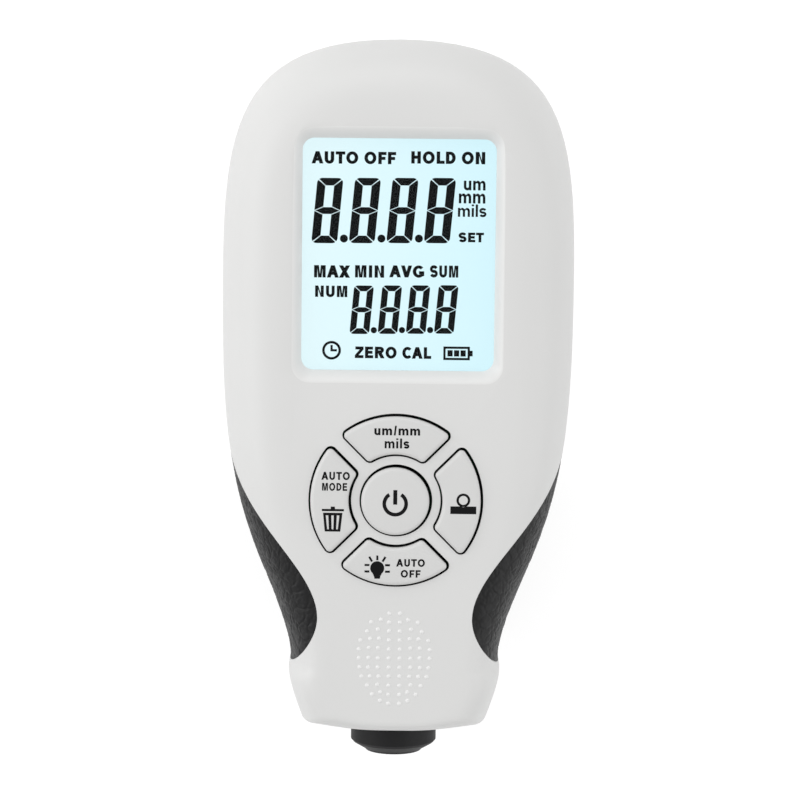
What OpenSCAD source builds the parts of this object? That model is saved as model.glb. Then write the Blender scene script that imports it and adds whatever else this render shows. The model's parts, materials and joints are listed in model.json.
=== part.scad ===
// Coating thickness gauge, in millimetres.
// It lies on its back with the display up (+Z), the display end towards +Y
// and the spring-loaded measuring probe towards -Y.

/* [Housing] */
// Length of the housing without the probe
body_l = 105.6; // [105:0.1:112]
// Depth of the housing from the back to the front face
body_d = 26; // [25.5:0.5:30]
// Width at the widest part of the head
head_w = 53.6; // [53:0.1:60]
// Distance from the display end to the widest part
head_drop = 37.5; // [35:0.1:38.5]
// Width at the middle of the flank, where the sides lean inwards
flank_w = 41; // [40.5:0.1:44]
// Distance from the probe end to the middle of the flank
flank_rise = 25.2; // [24.5:0.1:27]
// Lean of the side at the middle of the flank, in degrees
flank_lean = 23; // [18:1:26]
// Width at the waist
waist_w = 32.1; // [32:0.1:35]
// Distance from the probe end to the waist
waist_rise = 11.4; // [11.2:0.1:13]
// Width of the foot just below the waist
foot_w = 32.6; // [32.4:0.1:36]
// Distance from the probe end to the widest part of the foot
foot_rise = 9.1; // [8.5:0.1:9.6]
// Width across the two lower corners
heel_w = 28.1; // [26:0.1:30]
// Height of the lower corners above the bottom of the foot
heel_rise = 1.4; // [0.8:0.1:1.6]
// Rounding radius of the lower corners in plan
heel_r = 0.7; // [0.6:0.1:1.6]
// Thickness of the side walls
wall = 2; // [1.8:0.1:2.3]
// Thickness of the front face
face_t = 2; // [1.8:0.1:2.4]
// Thickness of the back
back_t = 2; // [1.9:0.1:2.4]
// How far the front face is set in from the outline at the head
front_round = 9; // [7:0.5:9.5]
// How far the front face is set in at the waist and foot
grip_round = 5; // [4:0.5:5.5]
// How far the front and back faces are set in at the probe end
end_round = 2.5; // [2:0.1:3]
// How far the back face is set in from the outline at the head
back_round = 6; // [5:0.5:7]
// Chamfer that makes the parting groove
groove = 0.25; // [0.1:0.05:0.4]

/* [Side grips] */
// Thickness of the rubber grip inlays
grip_t = 1.4; // [1.2:0.1:1.6]
// Distance from the probe end to the upper tip of a grip
grip_top_rise = 44.6; // [42.5:0.1:47]
// How far a grip reaches in over the front at its broadest
grip_reach = 4.4; // [3.5:0.1:4.8]
// Distance from the probe end to the broadest part of a grip
grip_mid_rise = 18.9; // [18.5:0.1:21]
// Distance from the probe end to the lower tip of a grip
grip_end_rise = 10; // [9.4:0.1:10.5]

/* [Display] */
// Width of the visible display
win_w = 28.8; // [26:0.1:29.4]
// Height of the visible display
win_h = 34.6; // [32:0.1:35]
// Share of the free length of the front that lies above the display
top_share = 0.622; // [0.58:0.001:0.65]
// Corner radius of the display opening
win_r = 1.2; // [0.8:0.1:2]
// Width of the sloped surround at the sides of the display
win_side = 1.4; // [0.8:0.1:1.6]
// Width of the sloped surround above and below the display
win_end = 1.8; // [1:0.1:2]
// Depth of the sloped surround
win_depth = 1.4; // [1:0.1:1.5]
// Thickness of the clear lens
lens_t = 1; // [0.8:0.1:1.2]
// Thickness of the liquid crystal panel
lcd_t = 2; // [1.8:0.1:2.4]
// Thickness of the backlight panel
light_t = 2.5; // [2.2:0.1:2.8]

/* [Keys] */
// Share of the free length of the front that lies between the display and the keys
mid_share = 0.2215; // [0.18:0.0005:0.24]
// Radius of the opening for the round middle key
mid_key_r = 5.45; // [5:0.05:5.6]
// Inner radius of the openings for the four outer keys
key_in_r = 6.9; // [6.7:0.05:7.2]
// Outer radius of the openings for the four outer keys
key_out_r = 13; // [12:0.1:13.4]
// Width of the rib between neighbouring outer keys
key_rib = 1.8; // [1.6:0.1:2.4]
// Corner radius of the outer key openings
key_corner = 1; // [0.7:0.05:1.2]
// Gap between a key and its opening
key_gap = 0.25; // [0.2:0.05:0.35]
// How far the keys stand above the front face
key_proud = 0.8; // [0.7:0.05:1.1]
// Travel of a key
key_travel = 0.5; // [0.3:0.05:0.6]

/* [Probe] */
// How far the probe tip stands out of the housing
probe_reach = 4.4; // [3.8:0.1:4.6]
// Diameter of the probe sleeve
probe_d = 13.2; // [12:0.1:13.2]
// Diameter of the flat end of the probe sleeve
nose_d = 9; // [8:0.1:9.6]
// How far the hard tip stands out of the sleeve
tip_out = 0.4; // [0.2:0.05:0.6]
// Travel of the probe into the housing
probe_travel = 2; // [1:0.1:2.5]

/* [Power] */
// Diameter of an AAA cell
cell_d = 10.5; // [10.4:0.05:10.5]
// Length of an AAA cell with its positive end cap
cell_l = 44.5; // [44:0.1:44.5]
// Width of the battery door
door_w = 27; // [26.6:0.1:27.4]

/* [Pieces] */
// Piece to draw

/* [Hidden] */

$fn = 48;

// Lengthwise places of the outline, measured from the two ends
top_y = (body_l + probe_reach) / 2;
end_y = top_y - body_l;
head_y = top_y - head_drop;
flank_y = end_y + flank_rise;
waist_y = end_y + waist_rise;
foot_y = end_y + foot_rise;

// Display, keys and probe holder follow each other along the front and share its free length
holder_l = 18.5;
switch_w = 6;
key_mid_r = (key_in_r + key_out_r) / 2;
board_lap = key_mid_r + switch_w / 2 + 2.2;
display_l = win_h + 2 * win_end;
free_l = body_l - display_l - key_out_r - board_lap - holder_l;
win_y = top_y - top_share * free_l - display_l / 2;
keys_y = win_y - display_l / 2 - mid_share * free_l - key_out_r;

// Heights, stacked down from the front face
part_z = body_d / 2;
under_z = body_d - face_t;
lens_z = under_z - lens_t;
lcd_top = lens_z - 0.1;
lcd_z = lcd_top - lcd_t;
board_top = lcd_z - light_t;
board_t = 1.6;
board_z = board_top - board_t;

// Set-in of the rounded edges at the top end, head, waist, foot and probe end
front_set = [front_round - 1, front_round, grip_round, grip_round - 0.5, end_round];
back_set = [back_round, back_round, grip_round - 1, grip_round - 1, end_round];
// Set-in of the inside of the walls, thicker under the grips
wall_set = [wall, wall, wall + grip_t, wall, wall];

// Battery bay
cell_gap = 0.3;
cell_x = cell_d / 2 + cell_gap / 2;
bay_w = 2 * cell_d + 3 * cell_gap;
spring_l = 4.2;
plate_t = 0.4;
bay_l = cell_l + spring_l + 2 * plate_t + 0.2;
bay_top = top_y - 8.2;
bay_y = bay_top - bay_l;
bay_wall = 1.2;
cell_z = back_t + 0.2 + cell_d / 2;
bay_z = cell_z + cell_d / 2 + cell_gap;
door_y = bay_y - 4;
door_gap = 0.15;
rail = 0.8;
rail_z = back_t - 0.9;
ledge_t = 1.2;

// Screws
case_boss_r = 2.8;
case_x = door_w / 2 + rail + door_gap + case_boss_r + 0.95;
case_y = keys_y + 9.7;
foot_x = foot_w / 2 - case_boss_r - 2.2;
foot_screw_y = end_y + 8;
case_spots = [
  [-case_x, case_y], [case_x, case_y], [-foot_x, foot_screw_y], [foot_x, foot_screw_y]
];
case_seat = 5;

// Display stack in plan
lens_w = win_w + 2.2;
lens_h = win_h + 2.4;
glass_w = win_w + 2.8;
glass_h = win_h + 3;
frame_w = glass_w + 1.8;
frame_h = glass_h + 1.8;
strip_w = 2.2;

// Bosses that carry the circuit board, beside the display and below the keys
board_boss_r = 1.6;
board_x = frame_w / 2 + 0.2 + board_boss_r + 0.1;
board_high_y = win_y + 10;
board_low_x = key_out_r + 1.6;
board_low_y = keys_y - 10.3;
board_spots = [
  [-board_x, board_high_y], [board_x, board_high_y],
  [-board_low_x, board_low_y], [board_low_x, board_low_y]
];

// Keys and switches
flange_t = 1;
flange_z = under_z - 0.1 - flange_t;
flange_lap = 0.35;
key_top = body_d + key_proud;
// Middle, upper, left, right and lower key
key_spots = [[0, 0], [0, key_mid_r], [-key_mid_r, 0], [key_mid_r, 0], [0, -key_mid_r]];
stem_l = 0.6;
stem_r = 1.7;
plunger_top = flange_z - stem_l;
plunger_r = 1.6;
plunger_l = 1.7;
switch_top = plunger_top - key_travel - 0.05;
switch_h = switch_top - board_top;

// Probe, measured from the flat end of the sleeve into the housing
nose_l = probe_reach - tip_out;
nose_y = end_y - nose_l;
holder_wall = 1.5;
holder_y = end_y + wall + 0.1;
holder_end = end_y + holder_l;
sleeve_r = probe_d / 2;
stop_r = sleeve_r + 0.9;
bore_r = stop_r + 0.2;
holder_r = bore_r + 1.4;
collar_s = holder_y + holder_wall + 0.05 - nose_y;
neck_s = collar_s + 1.5;
sleeve_l = neck_s + 6.6;
neck_r = 4.7;
coil_room_r = 3.6;
core_r = 1.5;
core_end = sleeve_l - 2;
nose_t = 1.2;
coil_s = nose_t + 0.05;
coil_end = sleeve_l - 3.65;
cheek = 0.6;
former_r = core_r + 0.6;
rib_y = end_y + 13.8;
rib_t = 1.6;
pocket_y = foot_screw_y + case_boss_r + 0.3;

// Raised dots of the thumb rest: places of the right half, from the middle of their oval
dots_y = end_y + 12.85;
dot_spots = [
  [0.82, 6.85], [0.82, 5.5], [0.82, 4.16], [0.82, 2.77], [0.82, 1.37], [0.82, 0],
  [0.82, -1.4], [0.82, -2.77], [0.82, -4.17], [0.82, -5.57], [0.82, -6.95],
  [2.05, 5.9], [2.5, 4.42], [2.3, 3], [2.44, 1.57], [2.46, 0], [2.46, -1.4],
  [2.32, -2.78], [2.52, -4.07], [2.03, -5.19], [2.08, -6.5],
  [3.5, 5.5], [4.12, 4.1], [3.65, 2.96], [3.84, 1.57], [3.86, 0.06], [3.91, -1.42],
  [3.65, -2.78], [4.05, -4.17], [3.28, -5.55],
  [5.11, 2.71], [5.34, 1.34], [5.34, 0], [5.2, -1.41], [4.91, -2.8]
];

// Point on a cubic curve
function bez(p, u) =
  pow(1 - u, 3) * p[0] + 3 * pow(1 - u, 2) * u * p[1] + 3 * (1 - u) * u * u * p[2] + pow(u, 3) * p[3];

// Points along a cubic curve, without its last one
function run(p, n, first = 0) = [for (i = [0:n - 1]) bez(p, first + (1 - first) * i / n)];

// Right side of the outline from the display end to the probe end, set in by
// e = [top end, head, waist, foot, probe end]
function side(e) =
  let (
    t = top_y - e[0],
    hw = head_w / 2 - e[1],
    fw = flank_w / 2 - (e[1] + e[2]) / 2,
    ww = waist_w / 2 - e[2],
    tw = foot_w / 2 - e[3],
    kw = heel_w / 2 - e[3],
    b = end_y + e[4],
    lean = [-sin(flank_lean), -cos(flank_lean)],
    flank = [fw, flank_y],
    heel = [kw, b + heel_rise],
    up = [tw - kw, foot_y - 1.8 - heel[1]] / norm([tw - kw, foot_y - 1.8 - heel[1]]),
    in = [-0.6 * kw, -heel_rise] / norm([0.6 * kw, heel_rise]),
    r = min(heel_r, kw / 3)
  )
  concat(
    run([[0, t], [0.95 * hw, t], [hw, head_y + 0.63 * (t - head_y)], [hw, head_y]], 17, 0.03),
    run([[hw, head_y], [hw, head_y - 18.7], flank - 14.5 * lean, flank], 9),
    run([flank, flank + 4.5 * lean, [ww, waist_y + 3.2], [ww, waist_y]], 5),
    run([[ww, waist_y], [ww, waist_y - 1.2], [tw, foot_y + 1.2], [tw, foot_y]], 2),
    run([[tw, foot_y], [tw, foot_y - 1.6], heel + (r + 2.5) * up, heel + r * up], 4),
    run([heel + r * up, heel + 0.45 * r * up, heel + 0.45 * r * in, heel + r * in], 3),
    run([heel + r * in, heel + 4 * in, [kw / 2, b], [kw / 8, b]], 4),
    [[kw / 8, b]]
  );

// Closed outline, anticlockwise from above
function outline(e) =
  let (s = side(e), m = len(s))
  concat([for (p = s) [-p[0], p[1]]], [for (i = [m - 1:-1:0]) s[i]]);

// Outline lifted to a height
function ring(e, z) = [for (p = outline(e)) [p[0], p[1], z]];

// Solid through closed rings of equal count, lowest first
module skin(rings) {
  n = len(rings[0]);
  k = len(rings) - 1;
  half = n / 2;
  points = [for (r = rings) for (p = r) p];
  low = [for (j = [0:half - 2]) [j, j + 1, n - 2 - j, n - 1 - j]];
  high = [for (j = [0:half - 2]) [k * n + n - 1 - j, k * n + n - 2 - j, k * n + j + 1, k * n + j]];
  sides = [
    for (l = [0:k - 1]) for (i = [0:n - 1])
      let (a = l * n + i, b = l * n + (i + 1) % n)
      each [[a, a + n, b + n], [a, b + n, b]]
  ];
  polyhedron(points = points, faces = concat(low, sides, high));
}

// Set-in part of the way round an edge: an arc, with a draft on the wall of the probe end
function edge_share(e, a) = [
  for (i = [0:4]) e[i] * (i < 4 ? 1 - cos(a) : 0.45 * sin(a) + 0.55 * (1 - cos(a)))
];

// Rings of a rounded edge: the set-in grows from e0 to e0 + e1 as the height goes from z0 to z1
function edge_rings(e0, e1, z0, z1, n) = [
  for (i = [0:n]) let (a = 90 * i / n) ring(e0 + edge_share(e1, a), z0 + (z1 - z0) * sin(a))
];

// Height of the front at a distance d inside the outline, where its edge is set in by e
function face_z(d, e) =
  part_z + groove + (body_d - part_z - groove) * sqrt(1 - pow(1 - min(d, e) / e, 2));

function backwards(v) = [for (i = [len(v) - 1:-1:0]) v[i]];

function all(v) = [v, v, v, v, v];

// Outside of the front half, with half of the parting groove
module front_form() {
  skin(concat(
    [ring(all(groove), part_z)],
    edge_rings(all(0), front_set, part_z + groove, body_d, 8)
  ));
}

// Outside of the back half, with half of the parting groove
module rear_form() {
  skin(concat(
    backwards(edge_rings(all(0), back_set, part_z - groove, 0, 7)),
    [ring(all(groove), part_z)]
  ));
}

// Right flank of the body at a height, from above the grip to below it, closed inside the body
function flank_ring(e, z) =
  let (s = side(e))
  concat(
    [for (i = [37:-1:18]) [s[i][0], s[i][1], z]],
    [for (i = [18:37]) [4, s[i][1], z]]
  );

function flank_rings(e0, e1, z0, z1, n) = [
  for (i = [0:n]) let (a = 90 * i / n) flank_ring(e0 + edge_share(e1, a), z0 + (z1 - z0) * sin(a))
];

// Right flank set in by d all round, in so many steps to the front and to the back
module flank_form(d, front_n, back_n) {
  e = all(d);
  rise = flank_rings(e, front_set, part_z, body_d - d * 0.8, front_n);
  skin(concat(
    backwards(flank_rings(e, back_set, part_z, d * 0.8, back_n)),
    [for (i = [1:front_n]) rise[i]]
  ));
}

// Hollow of the front half
module front_hollow() {
  skin(concat(
    [ring(wall_set, part_z - 1)],
    edge_rings(wall_set, front_set, part_z, under_z, 4)
  ));
}

// Hollow of the back half
module rear_hollow() {
  skin(concat(
    backwards(edge_rings(wall_set, back_set, part_z, back_t, 4)),
    [ring(wall_set, part_z + 3)]
  ));
}

// Straight solid with the plan of the housing set in by e
module plan_solid(e, z0, z1) {
  translate([0, 0, z0])
    linear_extrude(z1 - z0) polygon(outline(e));
}

// Part of the body that a grip covers, seen from above, on the right side
module grip_plan(gap) {
  tip_x = head_w / 2 - 1.1;
  mid_x = waist_w / 2 - grip_reach;
  end_x = waist_w / 2 + 0.4;
  tip_y = end_y + grip_top_rise;
  mid_y = end_y + grip_mid_rise;
  low_y = end_y + grip_end_rise;
  edge = concat(
    run([[tip_x, tip_y], [tip_x - 1.3, tip_y - 10], [mid_x, mid_y + 7.7], [mid_x, mid_y]], 12),
    run([[mid_x, mid_y], [mid_x, mid_y - 4], [end_x - 2.4, low_y + 2.1], [end_x, low_y]], 7),
    [[end_x, low_y]]
  );
  polygon(concat(
    [for (p = edge) [p[0] + gap, p[1]]],
    [[head_w, low_y + 0.3], [head_w, tip_y + 0.6]]
  ));
}

// Seats of both grips
module grip_seats() {
  for (s = [0, 1])
    mirror([s, 0, 0])
      difference() {
        translate([0, 0, -1])
          linear_extrude(body_d + 2) grip_plan(0);
        flank_form(grip_t, 4, 3);
      }
}

// Grip on the right side, thinner than its seat by the glue line
module grip() {
  difference() {
    intersection() {
      flank_form(0, 8, 7);
      translate([0, 0, -1])
        linear_extrude(body_d + 2) grip_plan(0.08);
    }
    flank_form(grip_t - 0.05, 4, 3);
  }
}

// Rounded rectangle about the middle of the display, anticlockwise from above
function window_ring(w, h, r, z) = [
  for (q = [0:3]) for (i = [0:4])
    let (
      a = 90 * q + 22.5 * i,
      sx = (q == 0 || q == 3) ? 1 : -1,
      sy = (q < 2) ? 1 : -1
    )
    [sx * (w / 2 - r) + r * cos(a), win_y + sy * (h / 2 - r) + r * sin(a), z]
];

// Block with rounded corners in plan, about the middle of the display
module window_block(w, h, r, z0, z1) {
  skin([window_ring(w, h, r, z0), window_ring(w, h, r, z1)]);
}

// Display opening with its soft sloped surround
module window_cut() {
  skin(concat(
    [window_ring(win_w, win_h, win_r, under_z - 0.5)],
    [
      for (i = [0:4])
        let (f = i / 4, s = f * f * (3 - 2 * f) * 0.5 + f * 0.5)
        window_ring(
          win_w + 2 * win_side * s, win_h + 2 * win_end * s, win_r + 1.2 * s,
          body_d - win_depth * (1 - f)
        )
    ],
    [window_ring(win_w + 2 * win_side, win_h + 2 * win_end, win_r + 1.2, body_d + 1)]
  ));
}

function polar(a) = [cos(a), sin(a)];

function arc(c, r, a0, a1, n) = [for (i = [0:n]) c + r * polar(a0 + (a1 - a0) * i / n)];

function flip(v) = [for (i = [len(v) - 1:-1:0]) [-v[i][0], v[i][1]]];

// Outline of the upper outer key about the middle of the cluster, drawn in by d from its opening
function key_outline(d) =
  let (
    w = key_rib / 2 + d,
    ro = key_out_r - d,
    ri = key_in_r + d,
    r = max(key_corner - d, 0.2),
    uo = sqrt(pow(ro - r, 2) - pow(w + r, 2)),
    ui = sqrt(pow(ri + r, 2) - pow(w + r, 2)),
    q = sqrt(0.5),
    co = [uo - w - r, uo + w + r] * q,
    ci = [ui - w - r, ui + w + r] * q,
    ao = atan2(co[1], co[0]),
    ai = atan2(ci[1], ci[0]),
    outer = concat(arc(co, r, -45, ao, 4), [for (i = [1:3]) ro * polar(ao + (90 - ao) * i / 4)]),
    inner = concat(arc(ci, r, -45, ai - 180, 4), [for (i = [1:3]) ri * polar(ai + (90 - ai) * i / 4)]),
    outer_all = concat(outer, [[0, ro]], flip(outer)),
    inner_all = concat(inner, [[0, ri]], flip(inner))
  )
  concat(outer_all, backwards(inner_all));

function key_ring(d, z) = [for (p = key_outline(d)) [p[0], p[1], z]];

// Openings for the five keys
module key_cuts() {
  translate([0, keys_y, 0]) {
    translate([0, 0, under_z - 0.5])
      cylinder(r = mid_key_r, h = face_t + 1);
    for (a = [0:90:270])
      rotate([0, 0, a])
        translate([0, 0, under_z - 0.5])
          linear_extrude(face_t + 1) polygon(key_outline(0));
  }
}

// One outer key, turned by a: rounded cap, flange behind the face, stem
module outer_key(a) {
  translate([0, keys_y, 0])
    rotate([0, 0, a]) {
      skin(concat(
        [key_ring(key_gap, flange_z + 0.3)],
        [
          for (i = [0:3])
            key_ring(key_gap + 0.7 * (1 - cos(30 * i)), key_top - 0.55 * (1 - sin(30 * i)))
        ]
      ));
      translate([0, 0, flange_z])
        linear_extrude(flange_t) polygon(key_outline(-flange_lap));
      translate([0, key_mid_r, plunger_top])
        cylinder(r = stem_r, h = stem_l + 0.2);
    }
}

// Actuator of one key switch
module plunger(p) {
  translate([p[0], keys_y + p[1], plunger_top - plunger_l])
    cylinder(r = plunger_r, h = plunger_l);
}

// Coil spring along +Z from z = 0, its mean radius going from r0 to r1
module coil(r0, r1, wire_r, length, turns, steps) {
  n = ceil(turns * steps);
  m = 6;
  points = [
    for (i = [0:n]) for (j = [0:m - 1])
      let (f = i / n, a = 360 * turns * f, b = 360 * j / m, r = r0 + (r1 - r0) * f + wire_r * cos(b))
      [r * cos(a), r * sin(a), wire_r + (length - 2 * wire_r) * f + wire_r * sin(b)]
  ];
  sides = [
    for (i = [0:n - 1]) for (j = [0:m - 1])
      let (a = i * m + j, b = i * m + (j + 1) % m)
      each [[a, b, b + m], [a, b + m, a + m]]
  ];
  polyhedron(
    points = points,
    faces = concat([[for (j = [m - 1:-1:0]) j]], sides, [[for (j = [0:m - 1]) n * m + j]])
  );
}

// Turned solid about the probe axis; each point is [radius, distance from the sleeve end]
module probe_turned(profile) {
  translate([0, nose_y, part_z])
    rotate([-90, 0, 0])
      rotate_extrude() polygon(profile);
}

// Round bar along the probe axis between two places
module probe_bar(r, y0, y1) {
  translate([0, y0, part_z])
    rotate([-90, 0, 0])
      cylinder(r = r, h = y1 - y0);
}

// Saddle rib for the probe holder
module saddle(z0, z1) {
  difference() {
    translate([-waist_w / 2 + wall + grip_t + 0.8, rib_y, z0])
      cube([waist_w - 2 * (wall + grip_t + 0.8), rib_t, z1 - z0]);
    probe_bar(holder_r + 0.05, rib_y - 1, rib_y + rib_t + 1);
  }
}

// Raised dots of the thumb rest, in an oval on the front face
module thumb_dots() {
  for (p = dot_spots)
    for (s = [-1, 1])
      translate([s * p[0], dots_y + p[1], body_d - 0.3])
        cylinder(r1 = 0.36, r2 = 0.22, h = 0.5);
}

// Tops of the bosses, which end inside the wall of the front
function case_boss_top(p) =
  (p[1] > flank_y
    ? face_z(head_w / 2 - 1 - case_x - case_boss_r, front_round)
    : face_z(foot_w / 2 - 0.3 - foot_x - case_boss_r, grip_round - 0.5)) - 0.8;

function board_boss_top(p) =
  min(
    under_z + 0.3,
    (p[1] > keys_y
      ? face_z(head_w / 2 - 0.6 - board_x - board_boss_r, front_round)
      : face_z(flank_w / 2 - board_low_x - board_boss_r, (front_round + grip_round) / 2)) - 0.8
  );

module front_shell() {
  color([0.87, 0.87, 0.86])
    difference() {
      union() {
        difference() {
          front_form();
          front_hollow();
        }
        for (p = case_spots)
          translate([p[0], p[1], part_z + 0.1])
            cylinder(r = case_boss_r, h = case_boss_top(p) - part_z - 0.1);
        for (p = board_spots)
          translate([p[0], p[1], board_top])
            cylinder(r = board_boss_r, h = board_boss_top(p) - board_top);
        saddle(part_z + 0.3, under_z + 0.4);
        thumb_dots();
      }
      plan_solid(wall_set - all(wall - 0.95), part_z - 0.5, part_z + 1.3);
      window_cut();
      window_block(lens_w + 0.2, lens_h + 0.2, 1.5, lens_z - 0.3, under_z);
      window_block(frame_w + 0.4, frame_h + 0.4, 1, board_top - 1, lens_z - 0.05);
      key_cuts();
      for (p = case_spots)
        translate([p[0], p[1], part_z - 1])
          cylinder(d = 2.6, h = 6.4);
      for (p = board_spots)
        translate([p[0], p[1], board_top - 1])
          cylinder(d = 1.8, h = 4.4);
      probe_bar(sleeve_r + 0.3, end_y - 1, holder_y + 1);
      probe_bar(holder_r + 0.05, holder_y - 0.05, pocket_y);
      grip_seats();
    }
}

// Floor of the battery bay, which the door slides under
module door_seat() {
  translate([0, 0, back_t - 0.3])
    linear_extrude(ledge_t + 0.4)
      intersection() {
        polygon(outline(back_set * 0.6 + all(0.6)));
        translate([-door_w / 2 - 2.5, door_y - 3])
          square([door_w + 5, top_y - door_y + 3]);
      }
}

// Room that the battery door slides in
module door_room() {
  translate([-door_w / 2 - door_gap, door_y - door_gap, -1])
    cube([door_w + 2 * door_gap, top_y - door_y + 5, rail_z + 1 + 0.05]);
  translate([-door_w / 2 - rail - door_gap, door_y - door_gap, rail_z - 0.1])
    cube([door_w + 2 * (rail + door_gap), top_y - door_y + 5, back_t + 0.1 - rail_z + 0.1]);
  translate([-4 - door_gap, door_y - 1.6, rail_z - 0.1])
    cube([8 + 2 * door_gap, 3, back_t + 0.1 - rail_z + 0.1]);
}

module rear_shell() {
  color([0.87, 0.87, 0.86])
    difference() {
      union() {
        difference() {
          rear_form();
          rear_hollow();
        }
        difference() {
          plan_solid(wall_set - all(wall - 1.05), part_z - 1.5, part_z + 1.2);
          plan_solid(wall_set - all(0.1), part_z - 2, part_z + 2);
        }
        door_seat();
        translate([-bay_w / 2 - bay_wall, bay_y - bay_wall, back_t - 0.3])
          cube([bay_w + 2 * bay_wall, bay_l + 2 * bay_wall, bay_z + bay_wall - back_t + 0.3]);
        for (p = case_spots)
          translate([p[0], p[1], back_t - 0.5])
            cylinder(r = case_boss_r, h = part_z - 0.05 - back_t + 0.5);
        saddle(back_t - 0.4, part_z - 0.3);
      }
      translate([-bay_w / 2, bay_y, -1])
        cube([bay_w, bay_l, bay_z + 1]);
      for (s = [-1, 1])
        translate([s * cell_x - 1.7, bay_top - 1.2, bay_z - 1])
          cube([3.4, 1.2, bay_wall + 2]);
      door_room();
      for (p = case_spots) {
        translate([p[0], p[1], -1])
          cylinder(r = 2.45, h = case_seat + 1);
        translate([p[0], p[1], 0])
          cylinder(d = 2.7, h = part_z + 2);
      }
      probe_bar(sleeve_r + 0.3, end_y - 1, holder_y + 1);
      probe_bar(holder_r + 0.05, holder_y - 0.05, pocket_y);
      grip_seats();
    }
}

module right_grip() {
  color([0.16, 0.16, 0.17])
    grip();
}

module left_grip() {
  color([0.16, 0.16, 0.17])
    mirror([1, 0, 0]) grip();
}

// Lower edge of the back half, which shapes the end of the door
module back_edge_form() {
  rings = backwards(edge_rings(all(0), back_set, part_z - groove, 0, 7));
  skin([for (r = rings) if (r[0][2] < back_t + 2) r]);
}

module battery_door() {
  color([0.85, 0.85, 0.84])
    difference() {
      intersection() {
        back_edge_form();
        union() {
          translate([-door_w / 2, door_y, 0.1])
            cube([door_w, top_y - door_y, back_t - 0.1]);
          translate([-door_w / 2 - rail, door_y, rail_z])
            cube([door_w + 2 * rail, top_y - door_y, back_t - rail_z]);
          translate([-4, door_y - 1.4, rail_z])
            cube([8, 2, back_t - rail_z]);
        }
      }
      for (i = [0:5])
        translate([-6, door_y + 8 + 1.7 * i, -1])
          cube([12, 0.8, 1.5]);
    }
}

module case_screws() {
  color([0.6, 0.6, 0.62])
    for (p = case_spots)
      translate([p[0], p[1], 0])
        difference() {
          union() {
            translate([0, 0, case_seat - 1.8])
              cylinder(d = 4.6, h = 1.8);
            translate([0, 0, case_seat - 0.1])
              cylinder(d = 2.5, h = part_z + 5 - case_seat);
          }
          translate([-0.4, -1.5, 0])
            cube([0.8, 3, case_seat - 0.9]);
          translate([-1.5, -0.4, 0])
            cube([3, 0.8, case_seat - 0.9]);
        }
}

module display_lens() {
  color([0.85, 0.95, 1, 0.35])
    window_block(lens_w, lens_h, 1.4, lens_z, under_z);
}

module lcd_panel() {
  color([0.85, 0.97, 0.99])
    translate([-glass_w / 2, win_y - glass_h / 2, lcd_z])
      cube([glass_w, glass_h, lcd_t]);
}

module lcd_backlight() {
  color([0.95, 0.97, 1])
    translate([-glass_w / 2 + 0.2, win_y - glass_h / 2 + strip_w + 0.3, board_top])
      cube([glass_w - 0.4, glass_h - 2 * strip_w - 0.6, light_t]);
}

module lcd_frame() {
  color([0.92, 0.92, 0.9])
    translate([0, win_y, board_top])
      difference() {
        translate([-frame_w / 2, -frame_h / 2, 0])
          cube([frame_w, frame_h, lcd_top - board_top]);
        translate([-glass_w / 2 - 0.05, -glass_h / 2 - 0.05, -1])
          cube([glass_w + 0.1, glass_h + 0.1, lcd_top - board_top + 2]);
      }
}

module contact_strips() {
  color([0.75, 0.55, 0.6])
    for (s = [-1, 1])
      translate([-glass_w / 2 + 1, win_y + s * (glass_h / 2 - strip_w / 2) - strip_w / 2, board_top])
        cube([glass_w - 2, strip_w, light_t]);
}

module main_board() {
  color([0.1, 0.4, 0.22])
    difference() {
      translate([0, 0, board_z])
        linear_extrude(board_t)
          intersection() {
            polygon(outline(wall_set + all(1.9)));
            translate([-head_w, keys_y - board_lap])
              square([2 * head_w, body_l]);
          }
      for (p = board_spots)
        translate([p[0], p[1], board_z - 1])
          cylinder(d = 2.2, h = board_t + 2);
      for (s = [-1, 1])
        translate([s * case_x, case_y, board_z - 1])
          linear_extrude(board_t + 2) {
            circle(case_boss_r + 0.4);
            translate([s > 0 ? 0 : -head_w, -case_boss_r - 0.4])
              square([head_w, 2 * case_boss_r + 0.8]);
          }
    }
}

module board_screws() {
  color([0.7, 0.7, 0.72])
    for (p = board_spots)
      translate([p[0], p[1], board_z])
        difference() {
          union() {
            translate([0, 0, -1.2])
              cylinder(d = 3.4, h = 1.2);
            cylinder(d = 1.7, h = board_t + 3);
          }
          translate([-0.25, -1.1, -2])
            cube([0.5, 2.2, 1.4]);
          translate([-1.1, -0.25, -2])
            cube([2.2, 0.5, 1.4]);
        }
}

module controller_chip() {
  color([0.12, 0.12, 0.13])
    union() {
      translate([-5, keys_y - 1, board_z - 1.5])
        cube([10, 10, 1.4]);
      for (s = [-1, 1])
        for (i = [-3.5:1:3.5]) {
          translate([s * 5.4 - 0.6, keys_y + 4 + i - 0.2, board_z - 0.4])
            cube([1.2, 0.4, 0.4]);
          translate([i - 0.2, keys_y + 4 + s * 5.4 - 0.6, board_z - 0.4])
            cube([0.4, 1.2, 0.4]);
        }
    }
}

module key_switches() {
  color([0.2, 0.2, 0.22])
    for (p = key_spots)
      translate([p[0], keys_y + p[1], board_top])
        difference() {
          translate([-switch_w / 2, -switch_w / 2, 0])
            cube([switch_w, switch_w, switch_h]);
          translate([0, 0, plunger_top - plunger_l - key_travel - 0.1 - board_top])
            cylinder(r = plunger_r + 0.15, h = switch_h);
        }
}

module probe_connector() {
  color([0.9, 0.88, 0.8])
    difference() {
      translate([-3.5, keys_y - key_mid_r - 2.2, part_z - 1.6])
        cube([7, 4.4, board_z - part_z + 1.6]);
      translate([-2.6, keys_y - key_mid_r - 3, part_z - 1])
        cube([5.2, 2.6, board_z - part_z]);
    }
}

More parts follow.
